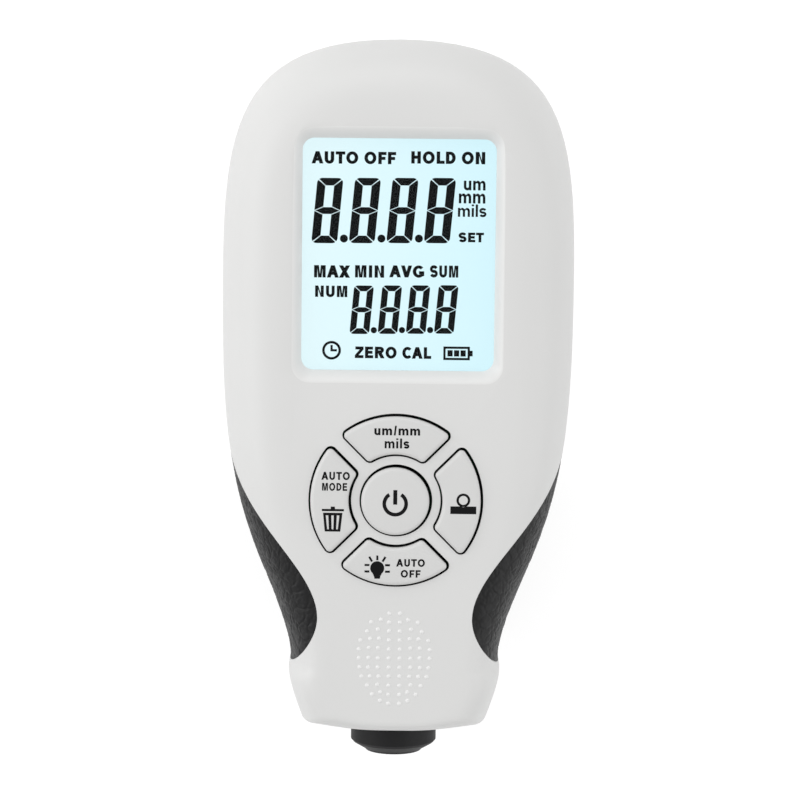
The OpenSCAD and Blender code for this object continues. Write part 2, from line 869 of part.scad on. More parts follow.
module power_key() {
  color([0.83, 0.83, 0.82])
    translate([0, keys_y, 0])
      rotate_extrude()
        polygon(concat(
          [[0, plunger_top], [stem_r, plunger_top], [stem_r, flange_z], [mid_key_r + flange_lap, flange_z]],
          [[mid_key_r + flange_lap, flange_z + flange_t], [mid_key_r - key_gap, flange_z + flange_t]],
          [
            for (i = [0:4])
              [mid_key_r - key_gap - 0.7 * (1 - cos(22.5 * i)), key_top - 0.55 * (1 - sin(22.5 * i))]
          ],
          [[0, key_top]]
        ));
}

module unit_key() {
  color([0.83, 0.83, 0.82])
    outer_key(0);
}

module mode_key() {
  color([0.83, 0.83, 0.82])
    outer_key(90);
}

module zero_key() {
  color([0.83, 0.83, 0.82])
    outer_key(270);
}

module light_key() {
  color([0.83, 0.83, 0.82])
    outer_key(180);
}

module power_plunger() {
  color([0.3, 0.3, 0.32])
    plunger(key_spots[0]);
}

module unit_plunger() {
  color([0.3, 0.3, 0.32])
    plunger(key_spots[1]);
}

module mode_plunger() {
  color([0.3, 0.3, 0.32])
    plunger(key_spots[2]);
}

module zero_plunger() {
  color([0.3, 0.3, 0.32])
    plunger(key_spots[3]);
}

module light_plunger() {
  color([0.3, 0.3, 0.32])
    plunger(key_spots[4]);
}

// AAA cell standing on its negative end at z = 0
module cell() {
  rotate_extrude()
    polygon([
      [0, 0.1], [3.5, 0.1], [3.8, 0], [cell_d / 2 - 0.3, 0], [cell_d / 2, 0.3],
      [cell_d / 2, cell_l - 1.5], [cell_d / 2 - 0.5, cell_l - 1], [1.9, cell_l - 1],
      [1.9, cell_l - 0.2], [1.7, cell_l], [0, cell_l]
    ]);
}

module left_cell() {
  color([0.2, 0.35, 0.6])
    translate([-cell_x, bay_y + plate_t + spring_l, cell_z])
      rotate([-90, 0, 0]) cell();
}

module right_cell() {
  color([0.2, 0.35, 0.6])
    translate([cell_x, bay_top - plate_t - spring_l, cell_z])
      rotate([90, 0, 0]) cell();
}

// Conical contact spring that presses on a cell along the given turn
module cell_spring(a) {
  rotate([a, 0, 0])
    coil(cell_d / 2 - 1.85, cell_d / 2 - 2.95, 0.35, spring_l - 0.05, 3.5, 10);
}

module bridge_contact() {
  color([0.75, 0.75, 0.73])
    union() {
      translate([-bay_w / 2 + 1, bay_y, back_t + 1.6])
        cube([bay_w - 2, plate_t, 8]);
      translate([-cell_x, bay_y + plate_t - 0.1, cell_z])
        cell_spring(-90);
      translate([cell_x, bay_y + plate_t - 0.1, cell_z])
        rotate([-90, 0, 0])
          cylinder(r = 1.6, h = 0.25);
    }
}

module positive_contact() {
  color([0.75, 0.75, 0.73])
    union() {
      translate([-cell_x - 4, bay_top - plate_t, back_t + 1.6])
        cube([8, plate_t, 8]);
      translate([-cell_x - 1.5, bay_top - plate_t, back_t + 6])
        cube([3, plate_t, board_z - back_t - 6.05]);
      translate([-cell_x, bay_top - plate_t + 0.1, cell_z])
        rotate([90, 0, 0])
          cylinder(r = 1.6, h = 0.25);
    }
}

module negative_contact() {
  color([0.75, 0.75, 0.73])
    union() {
      translate([cell_x - 4, bay_top - plate_t, back_t + 1.6])
        cube([8, plate_t, 8]);
      translate([cell_x - 1.5, bay_top - plate_t, back_t + 6])
        cube([3, plate_t, board_z - back_t - 6.05]);
      translate([cell_x, bay_top - plate_t + 0.1, cell_z])
        cell_spring(90);
    }
}

module probe_holder() {
  color([0.14, 0.14, 0.15])
    difference() {
      union() {
        probe_bar(holder_r, holder_y, holder_end);
        probe_bar(holder_r + 1, rib_y + rib_t + 0.05, rib_y + rib_t + 1.05);
      }
      probe_bar(sleeve_r + 0.15, holder_y - 1, holder_y + 5);
      probe_bar(bore_r, holder_y + holder_wall, holder_end - holder_wall);
      probe_bar(2.2, holder_end - 3, holder_end + 1);
    }
}

module probe_sleeve() {
  color([0.16, 0.16, 0.17])
    probe_turned([
      [core_r + 0.1, 0], [nose_d / 2 - 0.2, 0], [nose_d / 2, 0.25], [sleeve_r - 0.35, 1.3],
      [sleeve_r, 1.7], [sleeve_r, collar_s], [stop_r, collar_s], [stop_r, neck_s],
      [neck_r, neck_s], [neck_r, sleeve_l], [coil_room_r, sleeve_l], [coil_room_r, nose_t],
      [core_r + 0.1, nose_t]
    ]);
}

module probe_core() {
  color([0.7, 0.7, 0.72])
    probe_turned(concat(
      [for (i = [0:4]) [core_r * sin(22.5 * i), -tip_out + core_r * 0.6 * (1 - cos(22.5 * i))]],
      [[core_r, core_end], [0, core_end]]
    ));
}

module coil_bobbin() {
  color([0.85, 0.82, 0.7])
    probe_turned([
      [core_r + 0.05, coil_s], [coil_room_r - 0.1, coil_s], [coil_room_r - 0.1, coil_s + cheek],
      [former_r, coil_s + cheek], [former_r, coil_end - cheek], [coil_room_r - 0.1, coil_end - cheek],
      [coil_room_r - 0.1, coil_end], [core_r + 0.05, coil_end]
    ]);
}

module coil_winding() {
  color([0.72, 0.38, 0.16])
    probe_turned([
      [former_r + 0.05, coil_s + cheek + 0.05], [coil_room_r - 0.4, coil_s + cheek + 0.05],
      [coil_room_r - 0.4, coil_end - cheek - 0.05], [former_r + 0.05, coil_end - cheek - 0.05]
    ]);
}

module probe_spring() {
  color([0.72, 0.72, 0.74])
    translate([0, nose_y + neck_s, part_z])
      rotate([-90, 0, 0])
        coil(5.9, 5.9, 0.42, holder_end - holder_wall - nose_y - neck_s, 5.5, 10);
}

module probe_lead() {
  color([0.2, 0.2, 0.22])
    probe_bar(0.9, nose_y + core_end + 0.05, keys_y - key_mid_r - 0.45);
}

front_shell();
rear_shell();
left_grip();
right_grip();
battery_door();
case_screws();
display_lens();
lcd_panel();
lcd_backlight();
lcd_frame();
contact_strips();
main_board();
board_screws();
controller_chip();
key_switches();
probe_connector();
power_key();
unit_key();
mode_key();
zero_key();
light_key();
power_plunger();
unit_plunger();
mode_plunger();
zero_plunger();
light_plunger();
left_cell();
right_cell();
bridge_contact();
positive_contact();
negative_contact();
probe_holder();
probe_sleeve();
probe_core();
coil_bobbin();
coil_winding();
probe_spring();
probe_lead();
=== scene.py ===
"""Looks of a handheld coating thickness gauge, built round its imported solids."""

import json
import math

import bmesh
import bpy
from bpy.props import FloatProperty, FloatVectorProperty, IntProperty, PointerProperty
from mathutils import Matrix, Vector, noise


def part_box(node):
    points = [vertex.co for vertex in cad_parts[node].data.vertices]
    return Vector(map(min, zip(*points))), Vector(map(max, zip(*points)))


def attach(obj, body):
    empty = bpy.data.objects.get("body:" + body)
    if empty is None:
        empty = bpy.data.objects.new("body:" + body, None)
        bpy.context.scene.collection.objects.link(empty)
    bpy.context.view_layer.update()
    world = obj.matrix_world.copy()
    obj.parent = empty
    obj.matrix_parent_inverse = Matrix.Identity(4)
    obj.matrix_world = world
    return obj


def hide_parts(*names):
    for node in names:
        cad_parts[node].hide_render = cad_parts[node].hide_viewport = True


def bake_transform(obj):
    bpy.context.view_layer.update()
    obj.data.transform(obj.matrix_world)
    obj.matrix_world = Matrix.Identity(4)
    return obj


bl_info = {
    "name": "Coating thickness gauge",
    "version": (1, 0, 0),
    "blender": (4, 5, 0),
    "location": "3D View > Sidebar > Gauge",
    "description": "Dresses the solids of a coating thickness gauge with housing, grips, keys and display",
    "category": "Object",
}

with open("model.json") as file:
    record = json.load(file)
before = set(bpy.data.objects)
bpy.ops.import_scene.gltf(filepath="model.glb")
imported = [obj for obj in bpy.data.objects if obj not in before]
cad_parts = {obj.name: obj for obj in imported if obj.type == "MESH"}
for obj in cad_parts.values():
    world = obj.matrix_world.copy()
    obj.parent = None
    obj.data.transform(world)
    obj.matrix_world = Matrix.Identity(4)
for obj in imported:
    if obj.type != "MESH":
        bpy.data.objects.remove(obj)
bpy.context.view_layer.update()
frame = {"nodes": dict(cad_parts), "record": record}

MM = 0.001
FRONT_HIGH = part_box("front_shell")[1]
LENS_LOW, LENS_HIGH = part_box("display_lens")
PANEL_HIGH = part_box("lcd_panel")[1]
KEY_LOW, KEY_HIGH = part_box("power_key")
DOOR_LOW, DOOR_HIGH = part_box("battery_door")
CELL_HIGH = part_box("left_cell")[1]
CONTACTS = [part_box(node) for node in ("bridge_contact", "positive_contact", "negative_contact")]


def linear(hex_colour):
    """sRGB hex value as linear red, green and blue."""
    parts = [int(hex_colour[i:i + 2], 16) / 255 for i in (1, 3, 5)]
    return tuple(p / 12.92 if p <= 0.04045 else ((p + 0.055) / 1.055) ** 2.4 for p in parts)


# Sizes and colours that a user would change


def length(name, description, millimetres):
    return FloatProperty(
        name=name, description=description, default=millimetres * MM, unit="LENGTH", precision=5
    )


def colour(name, description, hex_colour):
    return FloatVectorProperty(
        name=name, description=description, default=linear(hex_colour), subtype="COLOR", min=0, max=1
    )


class GaugeHousing(bpy.types.PropertyGroup):
    """Sizes of the two housing halves and the grips."""

    head_width: length("Head width", "Width at the widest part of the head", 53.6)
    head_drop: length("Head drop", "Display end to the widest part", 37.5)
    flank_width: length("Flank width", "Width at the middle of the leaning sides", 41.0)
    flank_rise: length("Flank rise", "Probe end to the middle of the leaning sides", 25.2)
    waist_width: length("Waist width", "Width at the waist", 32.1)
    waist_rise: length("Waist rise", "Probe end to the waist", 11.4)
    foot_width: length("Foot width", "Width just below the waist", 32.6)
    foot_rise: length("Foot rise", "Probe end to the widest part of the foot", 9.1)
    heel_width: length("Heel width", "Width across the lower corners", 28.1)
    wall: length("Wall", "Thickness of the moulded walls", 2.0)
    groove: length("Parting groove", "Chamfer on both sides of the parting line", 0.25)
    grip_thickness: length("Grip thickness", "Depth of the grip seats", 1.4)
    grain_depth: length("Grain depth", "Depth of the creases in the grips", 0.12)
    edge_steps: IntProperty(name="Edge steps", description="Rings in a rounded edge", default=20, min=4)
    outline_steps: IntProperty(
        name="Outline steps", description="Points along each stretch of the outline", default=24, min=4
    )


class GaugeFront(bpy.types.PropertyGroup):
    """Sizes of the display opening and the keys."""

    window_width: length("Window width", "Width of the visible display", 28.8)
    window_height: length("Window height", "Height of the visible display", 34.6)
    surround_side: length("Surround sides", "Width of the slope beside the display", 1.4)
    surround_end: length("Surround ends", "Width of the slope above and below the display", 1.8)
    surround_depth: length("Surround depth", "Depth of the slope round the display", 1.4)
    key_radius: length("Middle key opening", "Radius of the round opening", 5.45)
    ring_inner: length("Ring inside", "Inner radius of the outer key openings", 6.7)
    ring_outer: length("Ring outside", "Outer radius of the outer key openings", 13.1)
    rib: length("Rib", "Width of the rib between outer keys", 1.8)
    corner: length("Corner", "Corner radius of the outer key openings", 1.0)
    key_gap: length("Key gap", "Gap between a key and its opening", 0.34)


class GaugeColours(bpy.types.PropertyGroup):
    """Colours of the visible materials."""

    body: colour("Housing", "White moulded housing", "#DEDEDD")
    keys: colour("Keys", "Key caps", "#D8D8D7")
    grip: colour("Grips", "Rubber of the side grips", "#171718")
    probe: colour("Probe", "Turned plastic of the probe", "#1F1F20")
    # Painted shade: black on the walls of the key openings and the caps' lower flanks, where the gaps fall
    # into shade
    gap: colour("Painted gap shade", "Black painted as shade in the gaps round the keys", "#161617")
    ink: colour("Ink", "Printed signs on the keys", "#1B1B1C")
    screen_left: colour("Screen left", "Lit display at its left side", "#E2F8FC")
    screen_right: colour("Screen right", "Lit display at its right side", "#D3F4FC")
    segments: colour("Segments", "Dark segments of the display", "#050607")


# Places in millimetres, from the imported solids

TOP_Y = FRONT_HIGH.y / MM
HOUSING_LENGTH = 105.57
END_Y = TOP_Y - HOUSING_LENGTH
BODY_D = 26.0
PART_Z = BODY_D / 2
UNDER_Z = LENS_HIGH.z / MM
GLASS_Z = PANEL_HIGH.z / MM
WIN_Y = (LENS_LOW.y + LENS_HIGH.y) / 2 / MM
KEYS_Y = (KEY_LOW.y + KEY_HIGH.y) / 2 / MM
KEY_TOP = KEY_HIGH.z / MM

# How far the front and back edges round in at the top end, head, waist, foot and probe end
FRONT_SET = (11.0, 11.2, 6.0, 5.5, 3.0)
BACK_SET = (7.0, 7.0, 4.5, 4.5, 2.5)
EDGE_POWER = 3.0
# Share of the rounding at the probe end that is a plain draft
END_DRAFT = 0.2
# Narrow rim that keeps the shading of a flat face out of its edge
FLAT_RIM = 0.12
# Depth of a grip's seat under the front and back faces, as a share of its depth in the sides
SEAT_FLOOR = 0.8

# Pulls of the outline's curve before and after its knots, as shares or in millimetres
CROWN_PULL, HEAD_PULL, HEAD_FALL = 0.95, 0.63, 18.7
FLANK_PULLS, WAIST_PULLS, FOOT_PULLS, HEEL_PULLS = (14.5, 4.5), (3.2, 1.2), (1.2, 1.6), (2.5, 4)
FLANK_LEAN = math.radians(23)
FOOT_FALL = 1.8
# Lower corners: rise above the probe end, radius, roundness, and how far the end bows between them
HEEL_RISE, HEEL_R, HEEL_ROUND, END_BOW = 1.1, 0.7, 0.45, 0.6
# The flat middle of the probe end and its pulls, as parts of the half width
END_PARTS = (8, 2, 24)

# Right grip: knots from the half widths of head and waist and above the probe end, and their pulls
GRIP_TIP, GRIP_MIDDLE, GRIP_FOOT = (-1.1, 44.6), (-4.4, 18.9), (0.4, 10.0)
GRIP_TIP_PULL, GRIP_MIDDLE_PULLS, GRIP_FOOT_PULL = (-1.3, -10), (7.7, -3.4), (-1.9, 2.3)
GRIP_FLARE = (0.3, 0.6)
# Room between a grip and the edge of its seat, and between a grip and the floor of its seat
GRIP_GAP, GRIP_PLAY = 0.08, 0.05

# Corner radius of the display opening, and what the slope round it adds
WINDOW_R, SLOPE_R = 1.8, 0.9
# Rings of that slope, how hollow it is, and how far its last ring clears the face
SLOPE_RINGS, SLOPE_POWER, SLOPE_CLEAR = 12, 1.6, 0.002
# Pull of a quarter circle as a share of its radius, and of a flat side as a share of its half length
ROUND_PULL, FLAT_PULL = 0.5523, 0.6
# How far cutters reach below the front wall, and past other faces
CUT_UNDER, CUT_PAST = 0.5, 1
# How far an added wall or boss is sunk into what it stands on
WALL_SINK, BOSS_SINK = 0.3, 0.5
# Vertices closer than this are one
WELD_REACH = 0.002

# Round opening for the probe
PROBE_HOLE_R, PROBE_HOLE_DEPTH = 6.9, 3.1
# Sliding door: width and height of its rails, and its thickness
DOOR_RAIL, DOOR_RAIL_Z, DOOR_T = 0.8, 1.1, 2.0
# Room beside the door, above its rails and past the display end, lift off the table and soft edges
DOOR_GAP, RAIL_PLAY, DOOR_RUN, DOOR_LIFT, DOOR_BEVEL = 0.15, 0.1, 5, 0.1, 0.12
# Tongue of the door: half width, reach, room for it in the housing and root in the plate
TONGUE_X, TONGUE, TONGUE_ROOM, TONGUE_ROOT = 4, 1.4, 1.6, 0.6
DOOR_X = DOOR_HIGH.x / MM - DOOR_RAIL
DOOR_Y = DOOR_LOW.y / MM + TONGUE
# Finger grooves: the first one's place, pitch, width, half length and depth
GROOVE_START, GROOVE_PITCH, GROOVE_WIDTH, GROOVE_X, GROOVE_DEPTH = 8, 1.7, 0.8, 6, 0.5
# Ledge over the door: thickness, set-in, and reach beside and behind the door
LEDGE_T, LEDGE_SET, LEDGE_X, LEDGE_Y = 1.3, 0.6, 2.5, 3
# Battery bay: half width, walls round it and room over the cells
BAY_X, BAY_WALL, BAY_ROOM = 10.95, 1.2, 0.3
BAY_LOW_Y = min(low.y for low, high in CONTACTS) / MM
BAY_HIGH_Y = max(high.y for low, high in CONTACTS) / MM
BAY_TOP = CELL_HIGH.z / MM + BAY_ROOM
# Case screws: places, seat of the heads, and radii of boss, recess and hole
SCREW_SPOTS = [(side * x, y) for x, y in ((18.2, KEYS_Y + 9.7), (11.3, END_Y + 8)) for side in (-1, 1)]
SCREW_SEAT = 5.0
BOSS_R, RECESS_R, HOLE_R = 2.8, 2.45, 1.35
# The bosses of the rear half end just below the parting line
BOSS_SHORT = 0.05

# The caps sit a little low and to the left in their openings, the outer ones less so
KEY_SHIFT = (-0.1, -0.1)
OUTER_SHIFT = 0.6
LEAST_CORNER = 0.2
# Caps: skirt below the front wall, rounded upper edge, and how far below the face the painted black shade
# starts
CAP_SKIRT, CAP_ROUND, SHADE_DROP = 0.8, 0.62, 0.1
# Thickness of printed signs and of display marks
SIGN_T = 0.02
MARK_T = 0.03
# Lean of the digits, rise from one to the next, and the gap between two segments
SLANT, DIGIT_RISE, SEGMENT_GAP = 0.09, 0.06, 0.09

# Leather grain: width and crease of the large and the small cells, and their length to width
LARGE_CELLS, SMALL_CELLS, CELL_LENGTH = (1.7, 0.2), (0.8, 0.25), 1.4
# Depth of the small cells' creases, and how far and how fast the net wavers
SMALL_DEPTH, WAVER, WAVER_PACE = 0.45, 0.7, 0.6
# Without a seed the net would waver differently in each run
GRAIN_SEED = 1
# Longest edge that still shows the grain, and the rounds of splitting that reach it
GRAIN_EDGE, GRAIN_ROUNDS = 0.3, 5

# Dots of the thumb rest: radius, radius on top, height, middle above the face and rounded edge
DOT_R, DOT_TOP_R, DOT_T, DOT_MIDDLE, DOT_ROUND = 0.4, 0.18, 0.22, 0.03, 0.1
# Places of the dots of the right half, from the middle of the oval
DOTS_Y = END_Y + 12.85
DOT_SPOTS = (
    (0.82, 6.85), (0.82, 5.5), (0.82, 4.16), (0.82, 2.77), (0.82, 1.37), (0.82, 0.0),
    (0.82, -1.4), (0.82, -2.77), (0.82, -4.17), (0.82, -5.57), (0.82, -6.95),
    (2.05, 5.9), (2.5, 4.42), (2.3, 3.0), (2.44, 1.57), (2.46, 0.0), (2.46, -1.4),
    (2.32, -2.78), (2.52, -4.07), (2.03, -5.19), (2.08, -6.5),
    (3.5, 5.5), (4.12, 4.1), (3.65, 2.96), (3.84, 1.57), (3.86, 0.06), (3.91, -1.42),
    (3.65, -2.78), (4.05, -4.17), (3.28, -5.55),
    (5.11, 2.71), (5.34, 1.34), (5.34, 0.0), (5.2, -1.41), (4.91, -2.8),
)


# Small helpers for modelling


def deselect():
    if bpy.context.object and bpy.context.object.mode != "OBJECT":
        bpy.ops.object.mode_set(mode="OBJECT")
    bpy.ops.object.select_all(action="DESELECT")


def activate(piece):
    deselect()
    piece.select_set(True)
    bpy.context.view_layer.objects.active = piece


def settle(piece, name):
    """Names a finished piece and puts its place into its mesh."""
    activate(piece)
    bpy.ops.object.transform_apply(location=True, rotation=True, scale=True)
    piece.name = name
    piece.data.name = name
    return piece


def apply_modifier(piece, kind, **settings):
    activate(piece)
    modifier = piece.modifiers.new(kind.title(), kind)
    for key, value in settings.items():
        setattr(modifier, key, value)
    bpy.ops.object.modifier_apply(modifier=modifier.name)


def combine(piece, cutter, operation):
    """Cuts, joins or crosses a piece with another, which is used up."""
    apply_modifier(
        piece, "BOOLEAN", object=cutter, operation=operation, solver="MANIFOLD"
    )
    bpy.data.objects.remove(cutter)
    if not piece.data.polygons:
        raise RuntimeError("Nothing is left of " + piece.name)
    return piece


def weld(piece):
    """Merges doubled vertices and turns the faces outwards."""
    activate(piece)
    bpy.ops.object.mode_set(mode="EDIT")
    bpy.ops.mesh.select_all(action="SELECT")
    bpy.ops.mesh.remove_doubles(threshold=WELD_REACH * MM)
    bpy.ops.mesh.normals_make_consistent(inside=False)
    bpy.ops.object.mode_set(mode="OBJECT")


def join(pieces):
    deselect()
    for piece in pieces:
        piece.select_set(True)
    bpy.context.view_layer.objects.active = pieces[0]
    bpy.ops.object.join()
    return pieces[0]


def smooth(piece, degrees=30):
    activate(piece)
    bpy.ops.object.shade_smooth_by_angle(angle=math.radians(degrees))


def dress(piece, material):
    piece.data.materials.clear()
    piece.data.materials.append(material)
    return piece


def trace(knots, height, steps):
    """Draws a closed outline in plan as a Bezier curve and turns it into a ring of edges."""
    deselect()
    bpy.ops.curve.primitive_bezier_curve_add()
    drawn = bpy.context.object
    spline = drawn.data.splines[0]
    spline.bezier_points.add(len(knots) - len(spline.bezier_points))
    spline.use_cyclic_u = True
    spline.resolution_u = steps
    for point, knot in zip(spline.bezier_points, knots):
        point.handle_left_type = point.handle_right_type = "FREE"
        place, before, after = ((x * MM, y * MM, height * MM) for x, y in knot)
        point.co, point.handle_left, point.handle_right = place, before, after
    bpy.ops.object.convert(target="MESH")
    return bpy.context.object


def loft(name, rings, steps, rim=0.0):
    """Closed solid through outlines of equal make, each given as (knots, height).

    A rim inset in the last face keeps that face flat to the eye.
    """
    skin = trace(*rings[0], steps)
    count = len(skin.data.vertices)
    for knots, height in rings[1:]:
        ring = trace(knots, height, steps)
        join([skin, ring])
        select_vertices(skin, lambda v: v.index >= len(skin.data.vertices) - 2 * count)
        bpy.ops.mesh.bridge_edge_loops()
    last = len(skin.data.vertices) - count
    for chosen in (lambda v: v.index < count, lambda v: v.index >= last):
        select_vertices(skin, chosen)
        bpy.ops.mesh.edge_face_add()
    if rim:
        bpy.ops.mesh.inset(thickness=rim * MM)
    bpy.ops.mesh.select_all(action="SELECT")
    bpy.ops.mesh.normals_make_consistent(inside=False)
    bpy.ops.object.mode_set(mode="OBJECT")
    skin.name = name
    return skin


def select_vertices(piece, chosen):
    """Leaves edit mode open with the edges between the chosen vertices selected."""
    activate(piece)
    bpy.ops.object.mode_set(mode="EDIT")
    bpy.ops.mesh.select_mode(type="EDGE")
    bpy.ops.mesh.select_all(action="DESELECT")
    mesh = bmesh.from_edit_mesh(piece.data)
    for edge in mesh.edges:
        edge.select_set(all(chosen(v) for v in edge.verts))
    mesh.select_flush_mode()
    bmesh.update_edit_mesh(piece.data)


def straight(corners):
    """Knots of a closed outline with straight sides."""
    knots = []
    for i, place in enumerate(corners):
        before, after = corners[i - 1], corners[(i + 1) % len(corners)]
        knots.append((
            place,
            tuple(p + (q - p) / 3 for p, q in zip(place, before)),
            tuple(p + (q - p) / 3 for p, q in zip(place, after)),
        ))
    return knots


def prism(name, knots, low, high, steps):
    return loft(name, [(knots, low), (knots, high)], steps)


def block(name, low, high):
    """Box between two corners in millimetres."""
    deselect()
    centre = [(a + b) / 2 * MM for a, b in zip(low, high)]
    bpy.ops.mesh.primitive_cube_add(size=1, location=centre)
    piece = bpy.context.object
    piece.scale = [(b - a) * MM for a, b in zip(low, high)]
    return settle(piece, name)


def rod(name, radius, start, end, sides=96):
    """Round bar between two places in millimetres."""
    deselect()
    a, b = Vector(start) * MM, Vector(end) * MM
    bpy.ops.mesh.primitive_cylinder_add(
        vertices=sides, radius=radius * MM, depth=(b - a).length, location=(a + b) / 2,
        rotation=(b - a).to_track_quat("Z", "Y").to_euler(),
    )
    return settle(bpy.context.object, name)


# Outline of the housing


def housing_knots(size, set_in):
    """Bezier knots of the outline, set in at the top end, head, waist, foot and probe end."""
    top = TOP_Y - set_in[0]
    head = size.head_width / MM / 2 - set_in[1]
    flank_x = size.flank_width / MM / 2 - (set_in[1] + set_in[2]) / 2
    waist = size.waist_width / MM / 2 - set_in[2]
    foot = size.foot_width / MM / 2 - set_in[3]
    heel_x = size.heel_width / MM / 2 - set_in[3]
    end = END_Y + set_in[4]
    head_y = TOP_Y - size.head_drop / MM
    waist_y = END_Y + size.waist_rise / MM
    foot_y = END_Y + size.foot_rise / MM
    lean = Vector((-math.sin(FLANK_LEAN), -math.cos(FLANK_LEAN)))
    flank = Vector((flank_x, END_Y + size.flank_rise / MM))
    heel = Vector((heel_x, end + HEEL_RISE))
    up = Vector((foot - heel_x, foot_y - FOOT_FALL - heel.y)).normalized()
    inward = Vector((-END_BOW * heel_x, -HEEL_RISE)).normalized()
    r = min(HEEL_R, heel_x / 3)
    right = [
        ((head, head_y), (head, head_y + HEAD_PULL * (top - head_y)), (head, head_y - HEAD_FALL)),
        (flank, flank - FLANK_PULLS[0] * lean, flank + FLANK_PULLS[1] * lean),
        ((waist, waist_y), (waist, waist_y + WAIST_PULLS[0]), (waist, waist_y - WAIST_PULLS[1])),
        ((foot, foot_y), (foot, foot_y + FOOT_PULLS[0]), (foot, foot_y - FOOT_PULLS[1])),
        (heel + r * up, heel + (r + HEEL_PULLS[0]) * up, heel + HEEL_ROUND * r * up),
        (heel + r * inward, heel + HEEL_ROUND * r * inward, heel + HEEL_PULLS[1] * inward),
        tuple((heel_x / part, end) for part in END_PARTS),
    ]
    crown = ((0, top), (-CROWN_PULL * head, top), (CROWN_PULL * head, top))
    return [crown] + right + mirrored(right)


def mirrored(knots):
    """Knots of the other side, in the order that goes on round the outline."""
    return [tuple((-p[0], p[1]) for p in (k[0], k[2], k[1])) for k in reversed(knots)]


def every(value):
    return (value,) * 5


def edge_rings(size, start, growth, low, high):
    """Rings of an edge that runs out softly into the face, set in from start by growth."""
    rings = []
    for i in range(size.edge_steps + 1):
        a = math.pi / 2 * i / size.edge_steps
        share = 1 - math.cos(a) ** (2 / EDGE_POWER)
        shares = (share, share, share, share, END_DRAFT * math.sin(a) + (1 - END_DRAFT) * share)
        set_in = [s + g * part for s, g, part in zip(start, growth, shares)]
        rings.append((housing_knots(size, set_in), low + (high - low) * math.sin(a)))
    return rings


def half_form(size, growth, end_z):
    """Closed form of a housing half, with its side of the parting groove."""
    groove = size.groove / MM
    start_z = PART_Z + math.copysign(groove, end_z - PART_Z)
    rings = [(housing_knots(size, every(groove)), PART_Z)]
    rings += edge_rings(size, every(0), growth, start_z, end_z)
    return loft("half_form", rings, size.outline_steps, FLAT_RIM)


def hollow_form(size, growth, end_z):
    """Cutter of a half's inside, which starts beyond the parting line."""
    wall = size.wall / MM
    walls = (wall, wall, wall + size.grip_thickness / MM, wall, wall)
    away = PART_Z + math.copysign(CUT_PAST, PART_Z - end_z)
    rings = [(housing_knots(size, walls), away)]
    rings += edge_rings(size, walls, growth, PART_Z, end_z)
    return loft("hollow", rings, size.outline_steps)


def whole_form(size, depth):
    """The whole body set in by a depth, without the parting groove."""
    set_in = every(depth)
    back = edge_rings(size, set_in, BACK_SET, PART_Z, depth * SEAT_FLOOR)
    front = edge_rings(size, set_in, FRONT_SET, PART_Z, BODY_D - depth * SEAT_FLOOR)
    return loft("body_form", list(reversed(back)) + front[1:], size.outline_steps)


def grip_knots(size, gap):
    """Plan of the right grip: a long tip, a broad middle and a short lower tip."""
    head, waist = size.head_width / MM / 2, size.waist_width / MM / 2
    tip = (head + GRIP_TIP[0] + gap, END_Y + GRIP_TIP[1])
    middle = (waist + GRIP_MIDDLE[0] + gap, END_Y + GRIP_MIDDLE[1])
    low = (waist + GRIP_FOOT[0] + gap, END_Y + GRIP_FOOT[1])
    far = size.head_width / MM
    knots = straight([tip, middle, low, (far, low[1] + GRIP_FLARE[0]), (far, tip[1] + GRIP_FLARE[1])])
    knots[0] = (tip, knots[0][1], (tip[0] + GRIP_TIP_PULL[0], tip[1] + GRIP_TIP_PULL[1]))
    knots[1] = (middle, *((middle[0], middle[1] + pull) for pull in GRIP_MIDDLE_PULLS))
    knots[2] = (low, (low[0] + GRIP_FOOT_PULL[0], low[1] + GRIP_FOOT_PULL[1]), knots[2][2])
    return knots


def arc(middle, reach, start, stop, steps=16):
    """Points along an ellipse between two turns in degrees."""
    turns = [math.radians(start + (stop - start) * i / steps) for i in range(steps + 1)]
    return [(middle[0] + reach[0] * math.cos(t), middle[1] + reach[1] * math.sin(t)) for t in turns]


def rounded_rectangle(width, height, radius, centre_y):
    """Knots of a rectangle with round corners about the middle of the display."""
    bow = radius * ROUND_PULL
    x, y = width / 2, height / 2
    knots = []
    for sx, sy in ((1, 1), (-1, 1), (-1, -1), (1, -1)):
        side = (sx * x, centre_y + sy * (y - radius))
        end = (sx * (x - radius), centre_y + sy * y)
        side_bow = (side[0], side[1] + sy * bow)
        end_bow = (end[0] + sx * bow, end[1])
        flat_side = (side[0], side[1] - sy * (y - radius) * FLAT_PULL)
        flat_end = (end[0] - sx * (x - radius) * FLAT_PULL, end[1])
        if sx * sy > 0:
            knots += [(side, flat_side, side_bow), (end, end_bow, flat_end)]
        else:
            knots += [(end, flat_end, end_bow), (side, side_bow, flat_side)]
    return knots


def key_corners(front, draw_in, steps=10):
    """Outline of the upper outer key about the middle of the cluster, drawn in from its opening."""
    side = front.rib / MM / 2 + draw_in
    outer = front.ring_outer / MM - draw_in
    inner = front.ring_inner / MM + draw_in
    r = max(front.corner / MM - draw_in, LEAST_CORNER)
    half = math.sqrt(0.5)

    def corner_centre(reach):
        along = math.sqrt(reach ** 2 - (side + r) ** 2)
        return Vector((along - side - r, along + side + r)) * half

    high, low = corner_centre(outer - r), corner_centre(inner + r)
    high_turn, low_turn = (math.degrees(math.atan2(centre.y, centre.x)) for centre in (high, low))
    upper = arc(high, (r, r), -45, high_turn, steps)
    upper += arc((0, 0), (outer, outer), high_turn, 90, steps)[1:]
    lower = arc(low, (r, r), -45, low_turn - 180, steps)
    lower += arc((0, 0), (inner, inner), low_turn, 90, steps)[1:]
    upper += [(-x, y) for x, y in reversed(upper[:-1])]
    lower += [(-x, y) for x, y in reversed(lower[:-1])]
    return upper + list(reversed(lower))


